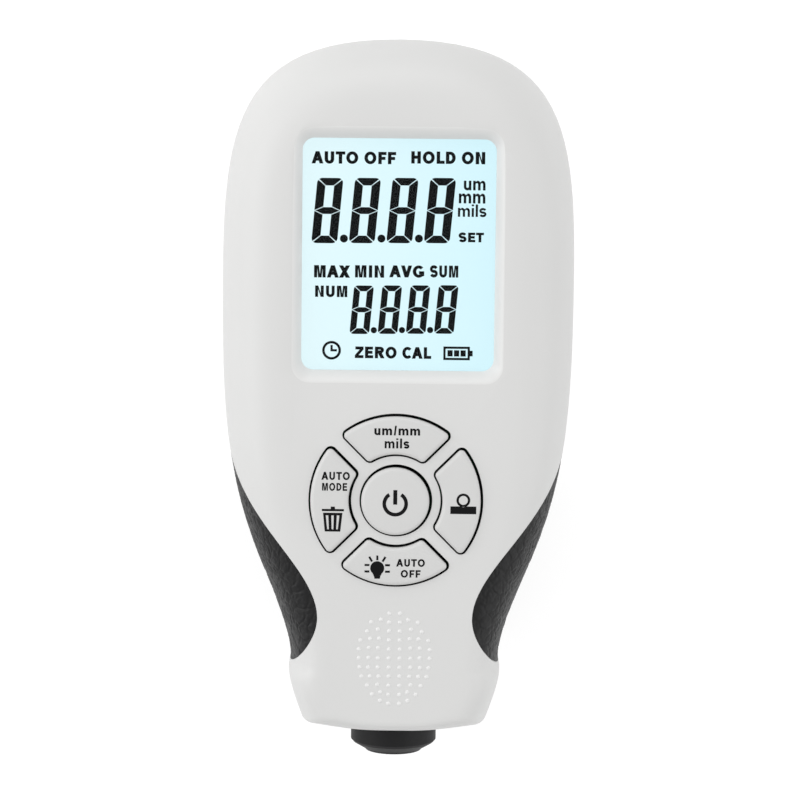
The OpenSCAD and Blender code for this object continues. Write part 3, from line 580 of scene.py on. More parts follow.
def turned(corners, quarter):
    """Outline turned about the middle of the key cluster by quarter turns, in place."""
    for _ in range(quarter):
        corners = [(-y, x) for x, y in corners]
    return [(x, y + KEYS_Y) for x, y in corners]


def drawn_shape(name, outlines, low, high):
    """Flat shape with holes where one outline lies in another, between two heights in millimetres."""
    deselect()
    bpy.ops.curve.primitive_bezier_curve_add()
    drawn = bpy.context.object
    sheet = drawn.data
    sheet.splines.clear()
    sheet.dimensions = "2D"
    sheet.fill_mode = "BOTH"
    sheet.extrude = (high - low) / 2 * MM
    for outline in outlines:
        spline = sheet.splines.new("POLY")
        spline.points.add(len(outline) - 1)
        for point, (x, y) in zip(spline.points, outline):
            point.co = (x * MM, y * MM, 0, 1)
        spline.use_cyclic_u = True
    bpy.ops.object.convert(target="MESH")
    piece = bpy.context.object
    piece.location.z = (low + high) / 2 * MM
    weld(settle(piece, name))
    return piece


def ring_outlines(centre, outer, inner, steps=40):
    """Outlines of a ring, or of a disc where the inner radius is nothing."""
    return [arc(centre, (r, r), 0, 360, steps)[:-1] for r in (outer, inner) if r]


def bar(left, right, low, high):
    return [(left, low), (right, low), (right, high), (left, high)]


def stroke(start, end, width):
    """Corners of a straight stroke."""
    a, b = Vector(start), Vector(end)
    side = (b - a).normalized().orthogonal() * width / 2
    return [tuple(a + side), tuple(a - side), tuple(b - side), tuple(b + side)]


# Block letters, one unit tall, with their left foot at zero


def ribbon(line, width):
    """Outline of a stroke of even width along a line of points."""
    sides = []
    for i, place in enumerate(line):
        before, after = line[max(i - 1, 0)], line[min(i + 1, len(line) - 1)]
        across = (Vector(after) - Vector(before)).normalized().orthogonal() * width / 2
        sides.append((tuple(Vector(place) + across), tuple(Vector(place) - across)))
    return [a for a, b in sides] + [b for a, b in reversed(sides)]


def straight_letters(t, h):
    """Outlines of the letters with straight strokes, with stems of width t and bars of height h."""
    a, b, leg = 1.08 * t, 0.55 * t, 1.2 * t
    rise, low = 0.49 - b, 0.22
    foot, roof = a + low * rise, a + (low + h) * rise
    s, m, v, x, z = 0.9 * t, 0.48, 0.46, 0.46, 0.78
    cross = (x - leg) / (2 * x - leg)
    return {
        "A": [
            [(0, 0), (a, 0), (foot, low), (0.98 - foot, low), (0.98 - a, 0), (0.98, 0), (0.49 + b, 1),
             (0.49 - b, 1)],
            [(roof, low + h), (0.98 - roof, low + h), (0.49, (0.49 - a) / rise)],
        ],
        "E": [[(0, 0), (0.74, 0), (0.74, h), (t, h), (t, 0.51 - h / 2), (0.68, 0.51 - h / 2),
               (0.68, 0.51 + h / 2), (t, 0.51 + h / 2), (t, 1 - h), (0.72, 1 - h), (0.72, 1), (0, 1)]],
        "F": [[(0, 0), (t, 0), (t, 0.47 - h / 2), (0.6, 0.47 - h / 2), (0.6, 0.47 + h / 2),
               (t, 0.47 + h / 2), (t, 1 - h), (0.68, 1 - h), (0.68, 1), (0, 1)]],
        "H": [[(0, 0), (t, 0), (t, 0.52 - h / 2), (0.8 - t, 0.52 - h / 2), (0.8 - t, 0), (0.8, 0), (0.8, 1),
               (0.8 - t, 1), (0.8 - t, 0.52 + h / 2), (t, 0.52 + h / 2), (t, 1), (0, 1)]],
        "I": [bar(0, t, 0, 1)],
        "L": [[(0, 0), (0.67, 0), (0.67, h), (t, h), (t, 1), (0, 1)]],
        "M": [[(0, 0), (s, 0), (s, 0.75), (m - 0.55 * s, 0), (m + 0.55 * s, 0), (2 * m - s, 0.75),
               (2 * m - s, 0), (2 * m, 0), (2 * m, 1), (2 * m - 1.55 * s, 1), (m, 0.3), (1.55 * s, 1),
               (0, 1)]],
        "N": [[(0, 0), (t, 0), (t, 0.68), (0.8 - 1.02 * t, 0), (0.8, 0), (0.8, 1), (0.8 - t, 1),
               (0.8 - t, 0.32), (1.02 * t, 1), (0, 1)]],
        "T": [[(0.4 - t / 2, 0), (0.4 + t / 2, 0), (0.4 + t / 2, 1 - h), (0.8, 1 - h), (0.8, 1), (0, 1),
               (0, 1 - h), (0.4 - t / 2, 1 - h)]],
        "V": [[(0, 1), (v - b, 0), (v + b, 0), (2 * v, 1), (2 * v - a, 1), (v, 1 - (v - a) / (v - b)),
               (a, 1)]],
        "X": [[(0, 0), (leg, 0), (x, cross), (2 * x - leg, 0), (2 * x, 0), (x + leg / 2, 0.5), (2 * x, 1),
               (2 * x - leg, 1), (x, 1 - cross), (leg, 1), (0, 1), (x - leg / 2, 0.5)]],
        "Z": [[(0, 0), (z, 0), (z, h), (leg, h), (z, 1 - h), (z, 1), (0.04, 1), (0.04, 1 - h),
               (z - leg, 1 - h), (0, h)]],
        "i": [bar(0, t, 0, 1), bar(0, t, 1.2, 1.4)],
        "l": [bar(0, t, 0, 1.4)],
        "/": [[(0, -0.02), (0.8 * t, -0.02), (0.42, 1.4), (0.42 - 0.8 * t, 1.4)]],
    }


def round_letters(t, h):
    """Outlines of the letters with bowed strokes, with stems of width t and bars of height h."""
    def bow(wide, start, stop):
        line = arc((wide / 2, 0.5), (wide / 2, 0.515), start, stop, 32)
        return line + arc((wide / 2, 0.5), (wide / 2 - t, 0.515 - h), stop, start, 32)

    def snake(wide):
        reach = (wide / 2 - t / 2, (1.02 - h) / 4)
        line = arc((wide / 2, 0.5 + reach[1]), reach, 20, 270)
        return ribbon(line + arc((wide / 2, 0.5 - reach[1]), reach, 90, -160)[1:], 0.94 * t)

    arch = ((1.42 - 3 * t) / 4, 0.41 - h)
    mid = 0.71 + t / 2
    return {
        "C": [bow(0.94, 42, 318)],
        "D": [
            [(0, 0)] + arc((0.36, 0.5), (0.46, 0.5), -90, 90) + [(0, 1)],
            [(t, h)] + arc((0.36, 0.5), (0.46 - t, 0.5 - h), -90, 90) + [(t, 1 - h)],
        ],
        "G": [
            arc((0.5, 0.5), (0.5, 0.515), 42, 312, 32)
            + [(0.96, 0.14), (0.96, 0.53), (0.52, 0.53), (0.52, 0.53 - h), (0.96 - t, 0.53 - h)]
            + [(0.96 - t, 0.24)]
            + arc((0.5, 0.5), (0.5 - t, 0.515 - h), 306, 42, 32)
        ],
        "O": [arc((0.5, 0.5), (0.5, 0.515), 0, 350, 35), arc((0.5, 0.5), (0.5 - t, 0.515 - h), 0, 350, 35)],
        "R": [
            [(0, 0), (t, 0), (t, 0.41), (0.3, 0.41), (0.88 - 1.22 * t, 0), (0.88, 0), (0.64, 0.45)]
            + arc((0.48, 0.715), (0.34, 0.285), -60, 90) + [(0, 1)],
            [(t, 0.43 + h)] + arc((0.48, 0.715), (0.34 - t, 0.285 - h), -90, 90) + [(t, 1 - h)],
        ],
        "S": [snake(0.84)],
        "U": [
            [(0, 1)] + arc((0.4, 0.37), (0.4, 0.385), 180, 360) + [(0.8, 1), (0.8 - t, 1)]
            + arc((0.4, 0.37), (0.4 - t, 0.385 - h), 360, 180) + [(t, 1)]
        ],
        "m": [
            [(0, 0), (t, 0)] + arc((t + arch[0], 0.6), arch, 180, 0) + [(mid - t, 0), (mid, 0)]
            + arc((mid + arch[0], 0.6), arch, 180, 0) + [(1.42 - t, 0), (1.42, 0)]
            + arc((1.1, 0.6), (0.32, 0.41), 0, 125) + [(mid - 0.04, 0.84)]
            + arc((mid - 0.32, 0.6), (0.32, 0.41), 55, 120) + [(t, 0.86), (t, 1), (0, 1)]
        ],
        "s": [snake(0.86)],
        "u": [
            [(0, 1)] + arc((0.43, 0.36), (0.43, 0.375), 180, 295) + [(0.86 - t, 0.14), (0.86 - t, 0)]
            + [(0.86, 0), (0.86, 1), (0.86 - t, 1)] + arc((0.43, 0.4), (0.43 - t, 0.4 - h), 360, 180)
            + [(t, 1)]
        ],
    }


# Room to the left and right of letters that are not upright there
LETTER_ROOM = {
    "A": (0.0, 0.0), "C": (0.06, 0.04), "D": (0.1, 0.06), "E": (0.1, 0.05), "F": (0.1, 0.02),
    "G": (0.06, 0.08), "L": (0.1, 0.0), "O": (0.06, 0.06), "R": (0.1, 0.02), "S": (0.05, 0.05),
    "T": (0.02, 0.02), "V": (0.0, 0.0), "X": (0.01, 0.01), "Z": (0.03, 0.03), "s": (0.05, 0.05),
}
UPRIGHT_ROOM = (0.1, 0.1)
SPACE = 0.39
# Height of the bars of letters to the width of their stems
BAR_SHARE = 0.88


def words(name, body, box, low, high, stem, room=0.0):
    """Lettering that fills a box of left, right, base and cap line in millimetres."""
    cross = BAR_SHARE * stem
    letters = {**straight_letters(stem, cross), **round_letters(stem, cross)}
    outlines, pen = [], 0.0
    for sign in body:
        if sign == " ":
            pen += SPACE
            continue
        before, after = LETTER_ROOM.get(sign, UPRIGHT_ROOM)
        pen += before + room / 2
        drawn = letters[sign]
        outlines += [[(pen + x, y) for x, y in outline] for outline in drawn]
        pen += max(x for outline in drawn for x, y in outline) + after + room / 2
    xs, ys = zip(*(place for outline in outlines for place in outline))
    left, right, base, cap = box
    wide, tall = (right - left) / (max(xs) - min(xs)), (cap - base) / (max(ys) - min(ys))
    first, foot = min(xs), min(ys)
    outlines = [
        [(left + (x - first) * wide, base + (y - foot) * tall) for x, y in outline] for outline in outlines
    ]
    return drawn_shape(name, outlines, low, high)


# Materials


def put(tree, kind, inputs=None, **settings):
    """Adds a node with its settings, and sets or links its inputs."""
    node = tree.nodes.new(kind)
    for key, value in settings.items():
        setattr(node, key, value)
    for key, value in (inputs or {}).items():
        if isinstance(value, bpy.types.NodeSocket):
            tree.links.new(value, node.inputs[key])
        else:
            node.inputs[key].default_value = value
    return node


def new_material(name):
    """Empty node material with its output, its Principled shader and object coordinates."""
    material = bpy.data.materials.new(name)
    material.use_nodes = True
    tree = material.node_tree
    tree.nodes.clear()
    shader = put(tree, "ShaderNodeBsdfPrincipled")
    put(tree, "ShaderNodeOutputMaterial", {"Surface": shader.outputs["BSDF"]})
    place = put(tree, "ShaderNodeTexCoord").outputs["Object"]
    return material, tree, shader, place


# Size of the faint clouds in a colour, and how far the roughness swings about its mean
CLOUD_MM, ROUGH_SWING = 12, 0.06


def grained(name, base, roughness, grain_mm, depth_mm, metallic=0.0, spread=0.06, ior=1.5, coat=0.0):
    """Material with a fine grain: colour and roughness vary a little, and a bump gives the texture."""
    material, tree, shader, place = new_material(name)
    cloud = put(tree, "ShaderNodeTexNoise", {"Vector": place, "Scale": 1 / (CLOUD_MM * MM), "Detail": 3.0})
    grain = put(
        tree, "ShaderNodeTexNoise", {"Vector": place, "Scale": 1 / (grain_mm * MM), "Detail": 4.0}
    )
    dark = tuple(c * (1 - spread) for c in base) + (1,)
    light = tuple(min(1, c * (1 + spread)) for c in base) + (1,)
    mixed = put(tree, "ShaderNodeMix", {0: cloud.outputs["Fac"], 6: dark, 7: light}, data_type="RGBA")
    rough = put(
        tree, "ShaderNodeMapRange",
        {
            "Value": grain.outputs["Fac"],
            "To Min": roughness - ROUGH_SWING,
            "To Max": roughness + ROUGH_SWING,
        },
    )
    bump = put(
        tree, "ShaderNodeBump",
        {"Height": grain.outputs["Fac"], "Strength": 0.5, "Distance": depth_mm * MM},
    )
    tree.links.new(mixed.outputs[2], shader.inputs["Base Color"])
    tree.links.new(rough.outputs["Result"], shader.inputs["Roughness"])
    tree.links.new(bump.outputs["Normal"], shader.inputs["Normal"])
    shader.inputs["Metallic"].default_value = metallic
    shader.inputs["Coat Weight"].default_value = coat
    if not metallic:
        shader.inputs["IOR"].default_value = ior
    return material


def grip_rubber(base):
    """Thermoplastic rubber moulded with a leather grain: matt, with shade painted darker into the creases.

    The cells are in the mesh, and a pitted skin between their creases is a bump.
    """
    pit_mm, pit_depth_mm = 0.45, 0.05
    material, tree, shader, place = new_material("leather_grain_rubber")
    crease = put(tree, "ShaderNodeAttribute", attribute_name="grain").outputs["Fac"]
    fine = put(tree, "ShaderNodeTexVoronoi", {"Vector": place, "Scale": 1 / (pit_mm * MM)})
    # Painted shade: creases darker and cell tops a little lighter
    crease_painted_shade = tuple(c * 0.6 for c in base) + (1,)
    high = tuple(c * 1.04 for c in base) + (1,)
    shade = put(tree, "ShaderNodeMix", {0: crease, 6: crease_painted_shade, 7: high}, data_type="RGBA")
    rough = put(
        tree, "ShaderNodeMapRange", {"Value": fine.outputs["Distance"], "To Min": 0.4, "To Max": 0.55}
    )
    bump = put(
        tree, "ShaderNodeBump",
        {"Height": fine.outputs["Distance"], "Strength": 0.35, "Distance": pit_depth_mm * MM},
    )
    tree.links.new(shade.outputs[2], shader.inputs["Base Color"])
    tree.links.new(rough.outputs["Result"], shader.inputs["Roughness"])
    tree.links.new(bump.outputs["Normal"], shader.inputs["Normal"])
    shader.inputs["IOR"].default_value = 1.38
    return material


def lit_display(left, right):
    """Backlit liquid crystal glass: pale cyan, a little deeper to the right, evenly lit from behind."""
    half_mm, veil_mm, veil_share = 14, 9, 0.12
    material, tree, shader, place = new_material("backlit_display_glass")
    spot = put(tree, "ShaderNodeSeparateXYZ", {"Vector": place})
    across = put(
        tree, "ShaderNodeMapRange",
        {"Value": spot.outputs["X"], "From Min": -half_mm * MM, "From Max": half_mm * MM},
    )
    veil = put(tree, "ShaderNodeTexNoise", {"Vector": place, "Scale": 1 / (veil_mm * MM), "Detail": 1.0})
    drift = put(
        tree, "ShaderNodeMath",
        {0: veil.outputs["Fac"], 1: veil_share, 2: across.outputs["Result"]}, operation="MULTIPLY_ADD",
    )
    for share, socket in ((0.15, "Base Color"), (1.0, "Emission Color")):
        ends = [tuple(c * share for c in tint) + (1,) for tint in (left, right)]
        tint = put(
            tree, "ShaderNodeMix", {0: drift.outputs["Value"], 6: ends[0], 7: ends[1]}, data_type="RGBA"
        )
        tree.links.new(tint.outputs[2], shader.inputs[socket])
    shader.inputs["Emission Strength"].default_value = 0.91
    shader.inputs["Roughness"].default_value = 0.3
    return material


def clear_acrylic():
    """Clear moulded acrylic: almost unseen, with a faint sheen."""
    material, tree, shader, place = new_material("clear_acrylic")
    haze_mm = 4
    haze = put(tree, "ShaderNodeTexNoise", {"Vector": place, "Scale": 1 / (haze_mm * MM)})
    rough = put(
        tree, "ShaderNodeMapRange", {"Value": haze.outputs["Fac"], "To Min": 0.04, "To Max": 0.1}
    )
    tree.links.new(rough.outputs["Result"], shader.inputs["Roughness"])
    shader.inputs["Base Color"].default_value = (*linear("#8C9496"), 1.0)
    shader.inputs["Alpha"].default_value = 0.02
    shader.inputs["IOR"].default_value = 1.49
    return material


def make_materials(colours):
    """The finishes of the gauge, by the record's slot."""
    return {
        # ABS moulded in a spark-eroded tool: white, satin, with an orange-peel that barely shows
        "housing_plastic": grained("white_moulded_abs", colours.body, 0.48, 0.35, 0.012, spread=0.012),
        # The same ABS on the dots, glossier, and painted lighter as a highlight on them
        "dot_painted_highlight": grained("glossy_abs_painted_highlight", linear("#EDEDEC"), 0.32, 0.3, 0.004, spread=0.01),
        # The same ABS on the slope round the display, a little smoother, and painted lighter as light falling
        # on the slope
        "slope_painted_light": grained("smooth_abs_painted_light", linear("#E5E5E4"), 0.38, 0.3, 0.004, spread=0.01),
        # The same ABS on the caps, a shade greyer and a little smoother
        "key_plastic": grained("pale_key_abs", colours.keys, 0.42, 0.3, 0.01, spread=0.015),
        "grip_rubber": grip_rubber(colours.grip),
        # Acetal turned on a lathe: black with a soft shine
        "probe_plastic": grained("turned_black_acetal", colours.probe, 0.55, 0.5, 0.01, spread=0.1, ior=1.3),
        # Near black and dull, painted as shade on the walls of the key openings and the caps' lower flanks
        "gap_painted_shade": grained("gap_shade_black", colours.gap, 0.7, 0.4, 0.01, spread=0.1),
        # Screen ink: flat and dull
        "sign_ink": grained("screen_ink", colours.ink, 0.6, 0.3, 0.004, spread=0.1, ior=1.1),
        # Darkened liquid crystal: black, with no shine of its own
        "display_ink": grained("display_segment", colours.segments, 0.5, 0.4, 0.002, spread=0.2, ior=1.05),
        "clear_lens": clear_acrylic(),
        "display_glass": lit_display(colours.screen_left, colours.screen_right),
        # Milky acrylic sheet behind the display
        "light_guide": grained("milky_acrylic", linear("#F2F5F7"), 0.3, 1.0, 0.004, spread=0.02),
        # Uncoloured nylon of the inner mouldings
        "frame_plastic": grained("natural_nylon", linear("#E7E2D3"), 0.5, 0.5, 0.01, spread=0.05),
        # Silicone with carbon layers
        "elastomer": grained("contact_elastomer", linear("#B98A92"), 0.6, 0.4, 0.01, spread=0.1),
        # Glass epoxy under green solder mask
        "circuit_board": grained("solder_mask", linear("#1C6B3F"), 0.35, 1.2, 0.01, spread=0.15),
        # Black moulded plastic of switches and chip
        "black_plastic": grained("black_moulded_nylon", linear("#262628"), 0.5, 0.5, 0.01, spread=0.1),
        # Zinc plated steel screws
        "screw_steel": grained(
            "zinc_plated_steel", linear("#B9BABC"), 0.32, 0.6, 0.006, metallic=1.0, spread=0.08
        ),
        # Printed film over the steel can of a cell
        "cell_jacket": grained("cell_film", linear("#3D6299"), 0.3, 1.5, 0.006, spread=0.08, coat=0.3),
        # Nickel plated spring steel
        "contact_steel": grained(
            "nickel_plated_steel", linear("#CFCDC6"), 0.28, 0.6, 0.005, metallic=1.0, spread=0.08
        ),
        # Hardened steel, ground and polished
        "tip_steel": grained(
            "polished_tool_steel", linear("#C4C5C8"), 0.2, 0.4, 0.003, metallic=1.0, spread=0.06
        ),
        # Enamelled copper wire
        "copper_wire": grained(
            "enamelled_copper", linear("#C07A45"), 0.3, 0.3, 0.02, metallic=1.0, spread=0.15
        ),
        # Soft insulated lead
        "lead_jacket": grained("soft_lead_jacket", linear("#333335"), 0.55, 0.5, 0.01, spread=0.1),
    }


FINISHES = {}


def finish_for(slot):
    if not FINISHES:
        FINISHES.update(make_materials(bpy.context.scene.gauge_colours))
    return FINISHES[slot]


def hand_in(piece, body, slot, *nodes):
    """Lets a finished piece ride its body and hides the solids that it stands for. The slot is not used."""
    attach(piece, body)
    if nodes:
        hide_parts(*nodes)


# Operators


class GAUGE_OT_inside(bpy.types.Operator):
    """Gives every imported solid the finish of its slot"""

    bl_idname = "gauge.inside"
    bl_label = "Finish the solids"

    def execute(self, context):
        for subpart in frame["record"]["subparts"]:
            solid = frame["nodes"][subpart["node"]]
            solid.data.materials.clear()
            solid.data.materials.append(finish_for(subpart["material_slot"]))
        return {"FINISHED"}


class GAUGE_OT_front_housing(bpy.types.Operator):
    """Models the front half with its display opening, key openings and grip seats"""

    bl_idname = "gauge.front_housing"
    bl_label = "Front housing"

    def execute(self, context):
        size, front = context.scene.gauge_housing, context.scene.gauge_front
        shell = half_form(size, FRONT_SET, BODY_D)
        combine(shell, hollow_form(size, FRONT_SET, UNDER_Z), "DIFFERENCE")
        combine(shell, self.window(front), "DIFFERENCE")
        for opening in self.key_openings(front):
            combine(shell, opening, "DIFFERENCE")
        for seat in grip_seats(size):
            combine(shell, seat, "DIFFERENCE")
        combine(shell, probe_opening(), "DIFFERENCE")
        smooth(settle(shell, "front_housing"))
        dress(shell, finish_for("housing_plastic"))
        self.paint_shade_and_light(shell, front)
        hand_in(shell, "housing", "housing_plastic", "front_shell")
        return {"FINISHED"}

    def paint_shade_and_light(self, shell, front):
        """Paints the walls of the key openings black as shade in the gaps, and the slope round the display
        lighter as light falling on it.
        """
        shell.data.materials.append(finish_for("gap_painted_shade"))
        shell.data.materials.append(finish_for("slope_painted_light"))
        key_reach = front.ring_outer + 0.05 * MM
        steep, level = 0.5, 0.99
        middle = Vector((0, KEYS_Y * MM))
        corner = (WINDOW_R + SLOPE_R) * MM
        reach_x = front.window_width / 2 + front.surround_side - corner
        reach_y = front.window_height / 2 + front.surround_end - corner
        for face in shell.data.polygons:
            place = face.center.xy
            if face.center.z < UNDER_Z * MM:
                continue
            # Walls of the key openings: painted black as shade in the gaps
            if (place - middle).length < key_reach and abs(face.normal.z) < steep:
                face.material_index = 1
                continue
            # Slope round the display: painted lighter, as light falling on it
            beyond = Vector((max(0, abs(place.x) - reach_x), max(0, abs(place.y - WIN_Y * MM) - reach_y)))
            if beyond.length < corner and face.normal.z < level:
                face.material_index = 2

    def window(self, front):
        """Cutter of the display opening: upright below, then a hollow slope that runs out in the face."""
        width, height = front.window_width / MM, front.window_height / MM
        side, end, depth = front.surround_side / MM, front.surround_end / MM, front.surround_depth / MM
        rings = [(rounded_rectangle(width, height, WINDOW_R, WIN_Y), UNDER_Z - CUT_UNDER)]
        for i in range(SLOPE_RINGS + 1):
            t = i / SLOPE_RINGS
            rise = 1 - (1 - t) ** SLOPE_POWER
            wide, tall = width + 2 * t * side, height + 2 * t * end
            plan = rounded_rectangle(wide, tall, WINDOW_R + SLOPE_R * t, WIN_Y)
            rings.append((plan, BODY_D - depth * (1 - rise) + (SLOPE_CLEAR if i == SLOPE_RINGS else 0)))
        rings.append((rings[-1][0], BODY_D + CUT_PAST))
        return loft("window", rings, 8)

    def key_openings(self, front):
        low, high = UNDER_Z - CUT_UNDER, BODY_D + CUT_PAST
        middle = rod("opening", front.key_radius / MM, (0, KEYS_Y, low), (0, KEYS_Y, high), 128)
        outer = [
            drawn_shape("opening", [turned(key_corners(front, 0), quarter)], low, high)
            for quarter in range(4)
        ]
        return [middle] + outer


def grip_seats(size):
    """Cutters of both grip seats."""
    seats = []
    for knots in (grip_knots(size, 0), mirrored(grip_knots(size, 0))):
        seat = prism("seat", knots, -CUT_PAST, BODY_D + CUT_PAST, size.outline_steps)
        combine(seat, whole_form(size, size.grip_thickness / MM), "DIFFERENCE")
        seats.append(seat)
    return seats


def probe_opening():
    start, end = (0, END_Y - CUT_PAST, PART_Z), (0, END_Y + PROBE_HOLE_DEPTH, PART_Z)
    return rod("probe_opening", PROBE_HOLE_R, start, end)


class GAUGE_OT_rear_housing(bpy.types.Operator):
    """Models the rear half with the battery bay, the door rails and the screw recesses"""

    bl_idname = "gauge.rear_housing"
    bl_label = "Rear housing"

    def execute(self, context):
        size = context.scene.gauge_housing
        wall = size.wall / MM
        shell = half_form(size, BACK_SET, 0)
        combine(shell, hollow_form(size, BACK_SET, wall), "DIFFERENCE")
        combine(shell, self.ledge(size), "UNION")
        bay_low, bay_high = (-BAY_X, BAY_LOW_Y, -CUT_PAST), (BAY_X, BAY_HIGH_Y, BAY_TOP)
        walls_low = (-BAY_X - BAY_WALL, BAY_LOW_Y - BAY_WALL, wall - WALL_SINK)
        walls_high = [c + BAY_WALL for c in bay_high]
        combine(shell, block("bay_walls", walls_low, walls_high), "UNION")
        for x, y in SCREW_SPOTS:
            boss = rod("boss", BOSS_R, (x, y, wall - BOSS_SINK), (x, y, PART_Z - BOSS_SHORT))
            combine(shell, boss, "UNION")
        combine(shell, block("bay", bay_low, bay_high), "DIFFERENCE")
        for room in self.door_rooms():
            combine(shell, room, "DIFFERENCE")
        for x, y in SCREW_SPOTS:
            combine(shell, rod("recess", RECESS_R, (x, y, -CUT_PAST), (x, y, SCREW_SEAT)), "DIFFERENCE")
            hole = rod("hole", HOLE_R, (x, y, CUT_PAST), (x, y, PART_Z + CUT_PAST), 48)
            combine(shell, hole, "DIFFERENCE")
        for seat in grip_seats(size):
            combine(shell, seat, "DIFFERENCE")
        combine(shell, probe_opening(), "DIFFERENCE")
        smooth(settle(shell, "rear_housing"))
        dress(shell, finish_for("housing_plastic"))
        hand_in(shell, "housing", "housing_plastic", "rear_shell")
        return {"FINISHED"}

    def ledge(self, size):
        """Floor of the bay that the door slides under."""
        wall = size.wall / MM
        plan = housing_knots(size, [LEDGE_SET * e + LEDGE_SET for e in BACK_SET])
        ledge = prism("ledge", plan, wall - WALL_SINK, wall + LEDGE_T, size.outline_steps)
        reach = DOOR_X + LEDGE_X
        low = (-reach, DOOR_Y - LEDGE_Y, wall - CUT_PAST)
        high = (reach, TOP_Y + CUT_PAST, wall + 2 * CUT_PAST)
        return combine(ledge, block("keep", low, high), "INTERSECT")

    def door_rooms(self):
        """Cutters for the door's plate, its rails and its tongue, each with room to slide."""
        plate_x, rail_x, tongue_x = (x + DOOR_GAP for x in (DOOR_X, DOOR_X + DOOR_RAIL, TONGUE_X))
        near_y, far_y = DOOR_Y - DOOR_GAP, TOP_Y + DOOR_RUN
        low, high = DOOR_RAIL_Z - RAIL_PLAY, DOOR_T + RAIL_PLAY
        return (
            block("room", (-plate_x, near_y, -CUT_PAST), (plate_x, far_y, DOOR_RAIL_Z + RAIL_PLAY / 2)),
            block("room", (-rail_x, near_y, low), (rail_x, far_y, high)),
            block("room", (-tongue_x, DOOR_Y - TONGUE_ROOM, low), (tongue_x, DOOR_Y + TONGUE, high)),
        )


class GAUGE_OT_battery_door(bpy.types.Operator):
    """Models the sliding door with its rails, its tongue and the finger grooves"""

    bl_idname = "gauge.battery_door"
    bl_label = "Battery door"

    grooves: IntProperty(name="Grooves", description="Number of finger grooves", default=6, min=0)

    def execute(self, context):
        size = context.scene.gauge_housing
        far_y, rail_x = TOP_Y + CUT_PAST, DOOR_X + DOOR_RAIL
        plate = block("plate", (-DOOR_X, DOOR_Y, DOOR_LIFT), (DOOR_X, far_y, DOOR_T))
        rails = block("rails", (-rail_x, DOOR_Y, DOOR_RAIL_Z), (rail_x, far_y, DOOR_T))
        tongue_low = (-TONGUE_X, DOOR_Y - TONGUE, DOOR_RAIL_Z)
        tongue = block("tongue", tongue_low, (TONGUE_X, DOOR_Y + TONGUE_ROOT, DOOR_T))
        combine(plate, rails, "UNION")
        combine(plate, tongue, "UNION")
        combine(plate, half_form(size, BACK_SET, 0), "INTERSECT")
        for i in range(self.grooves):
            low = DOOR_Y + GROOVE_START + GROOVE_PITCH * i
            groove_high = (GROOVE_X, low + GROOVE_WIDTH, GROOVE_DEPTH)
            combine(plate, block("groove", (-GROOVE_X, low, -CUT_PAST), groove_high), "DIFFERENCE")
        sharp = 0.7
        apply_modifier(
            plate, "BEVEL", width=DOOR_BEVEL * MM, segments=2, limit_method="ANGLE", angle_limit=sharp
        )
        smooth(settle(plate, "sliding_door"), 35)
        dress(plate, finish_for("housing_plastic"))
        hand_in(plate, "door", "housing_plastic", "battery_door")
        return {"FINISHED"}


class GAUGE_OT_grips(bpy.types.Operator):
    """Models the two rubber grips with a leather grain in their surface"""

    bl_idname = "gauge.grips"
    bl_label = "Side grips"

    def execute(self, context):
        size = context.scene.gauge_housing
        depth = size.grip_thickness / MM
        noise.seed_set(GRAIN_SEED)
        plan = grip_knots(size, GRIP_GAP)
        for side, knots in (("right", plan), ("left", mirrored(plan))):
            grip = whole_form(size, 0)
            outline = prism("plan", knots, -CUT_PAST, BODY_D + CUT_PAST, size.outline_steps)
            combine(grip, outline, "INTERSECT")
            combine(grip, whole_form(size, depth - GRIP_PLAY), "DIFFERENCE")
            self.refine(grip, GRAIN_EDGE * MM)
            self.emboss(grip, size.grain_depth)
            smooth(settle(grip, side + "_grip_cover"), 50)
            dress(grip, finish_for("grip_rubber"))
            hand_in(grip, "housing", "grip_rubber", side + "_grip")
        return {"FINISHED"}

    def refine(self, grip, longest):
        """Splits the outer faces until no edge is longer than the grain needs."""
        activate(grip)
        bpy.ops.object.mode_set(mode="EDIT")
        bpy.ops.mesh.select_mode(type="EDGE")
        for _ in range(GRAIN_ROUNDS):
            bpy.ops.mesh.select_all(action="SELECT")
            bpy.ops.mesh.quads_convert_to_tris()
            bpy.ops.mesh.select_all(action="DESELECT")
            mesh = bmesh.from_edit_mesh(grip.data)
            for edge in mesh.edges:
                edge.select_set(
                    edge.calc_length() > longest and any(self.outward(face) for face in edge.link_faces)
                )
            bmesh.update_edit_mesh(grip.data)
            bpy.ops.mesh.subdivide(number_cuts=1)
        bpy.ops.mesh.select_all(action="SELECT")
        bpy.ops.mesh.quads_convert_to_tris()
        bpy.ops.object.mode_set(mode="OBJECT")

    def outward(self, face):
        """Whether a face looks away from the gauge's long axis."""
        middle = face.calc_center_median()
        return face.normal.dot(Vector((middle.x, 0, middle.z - PART_Z * MM))) > 0

    def emboss(self, grip, depth):
        """Sinks a net of creases between leather cells and keeps each point's height in the net as an
        attribute, from which the rubber paints shade into the creases.
        """
        mesh = grip.data
        shade = mesh.attributes.new("grain", "FLOAT", "POINT")
        moves = []
        for vertex in mesh.vertices:
            place = vertex.co / MM
            place += WAVER * noise.noise_vector(place * WAVER_PACE)
            small = 1 - SMALL_DEPTH * (1 - self.cell(place, *SMALL_CELLS))
            rise = min(self.cell(place, *LARGE_CELLS), small)
            shade.data[vertex.index].value = rise
            out = Vector((vertex.co.x, 0, vertex.co.z - PART_Z * MM)).normalized()
            moves.append(vertex.co - vertex.normal * depth * (1 - rise) * max(0.0, vertex.normal.dot(out)))
        for vertex, move in zip(mesh.vertices, moves):
            vertex.co = move

    def cell(self, place, width, crease):
        """Height in a net of cells: 1 on a cell, 0 in the crease between two."""
        near = noise.voronoi(Vector((place.x / width, place.y / width / CELL_LENGTH, place.z / width)))[0]
        rise = min(1.0, (near[1] - near[0]) / crease)
        return rise * rise * (3 - 2 * rise)


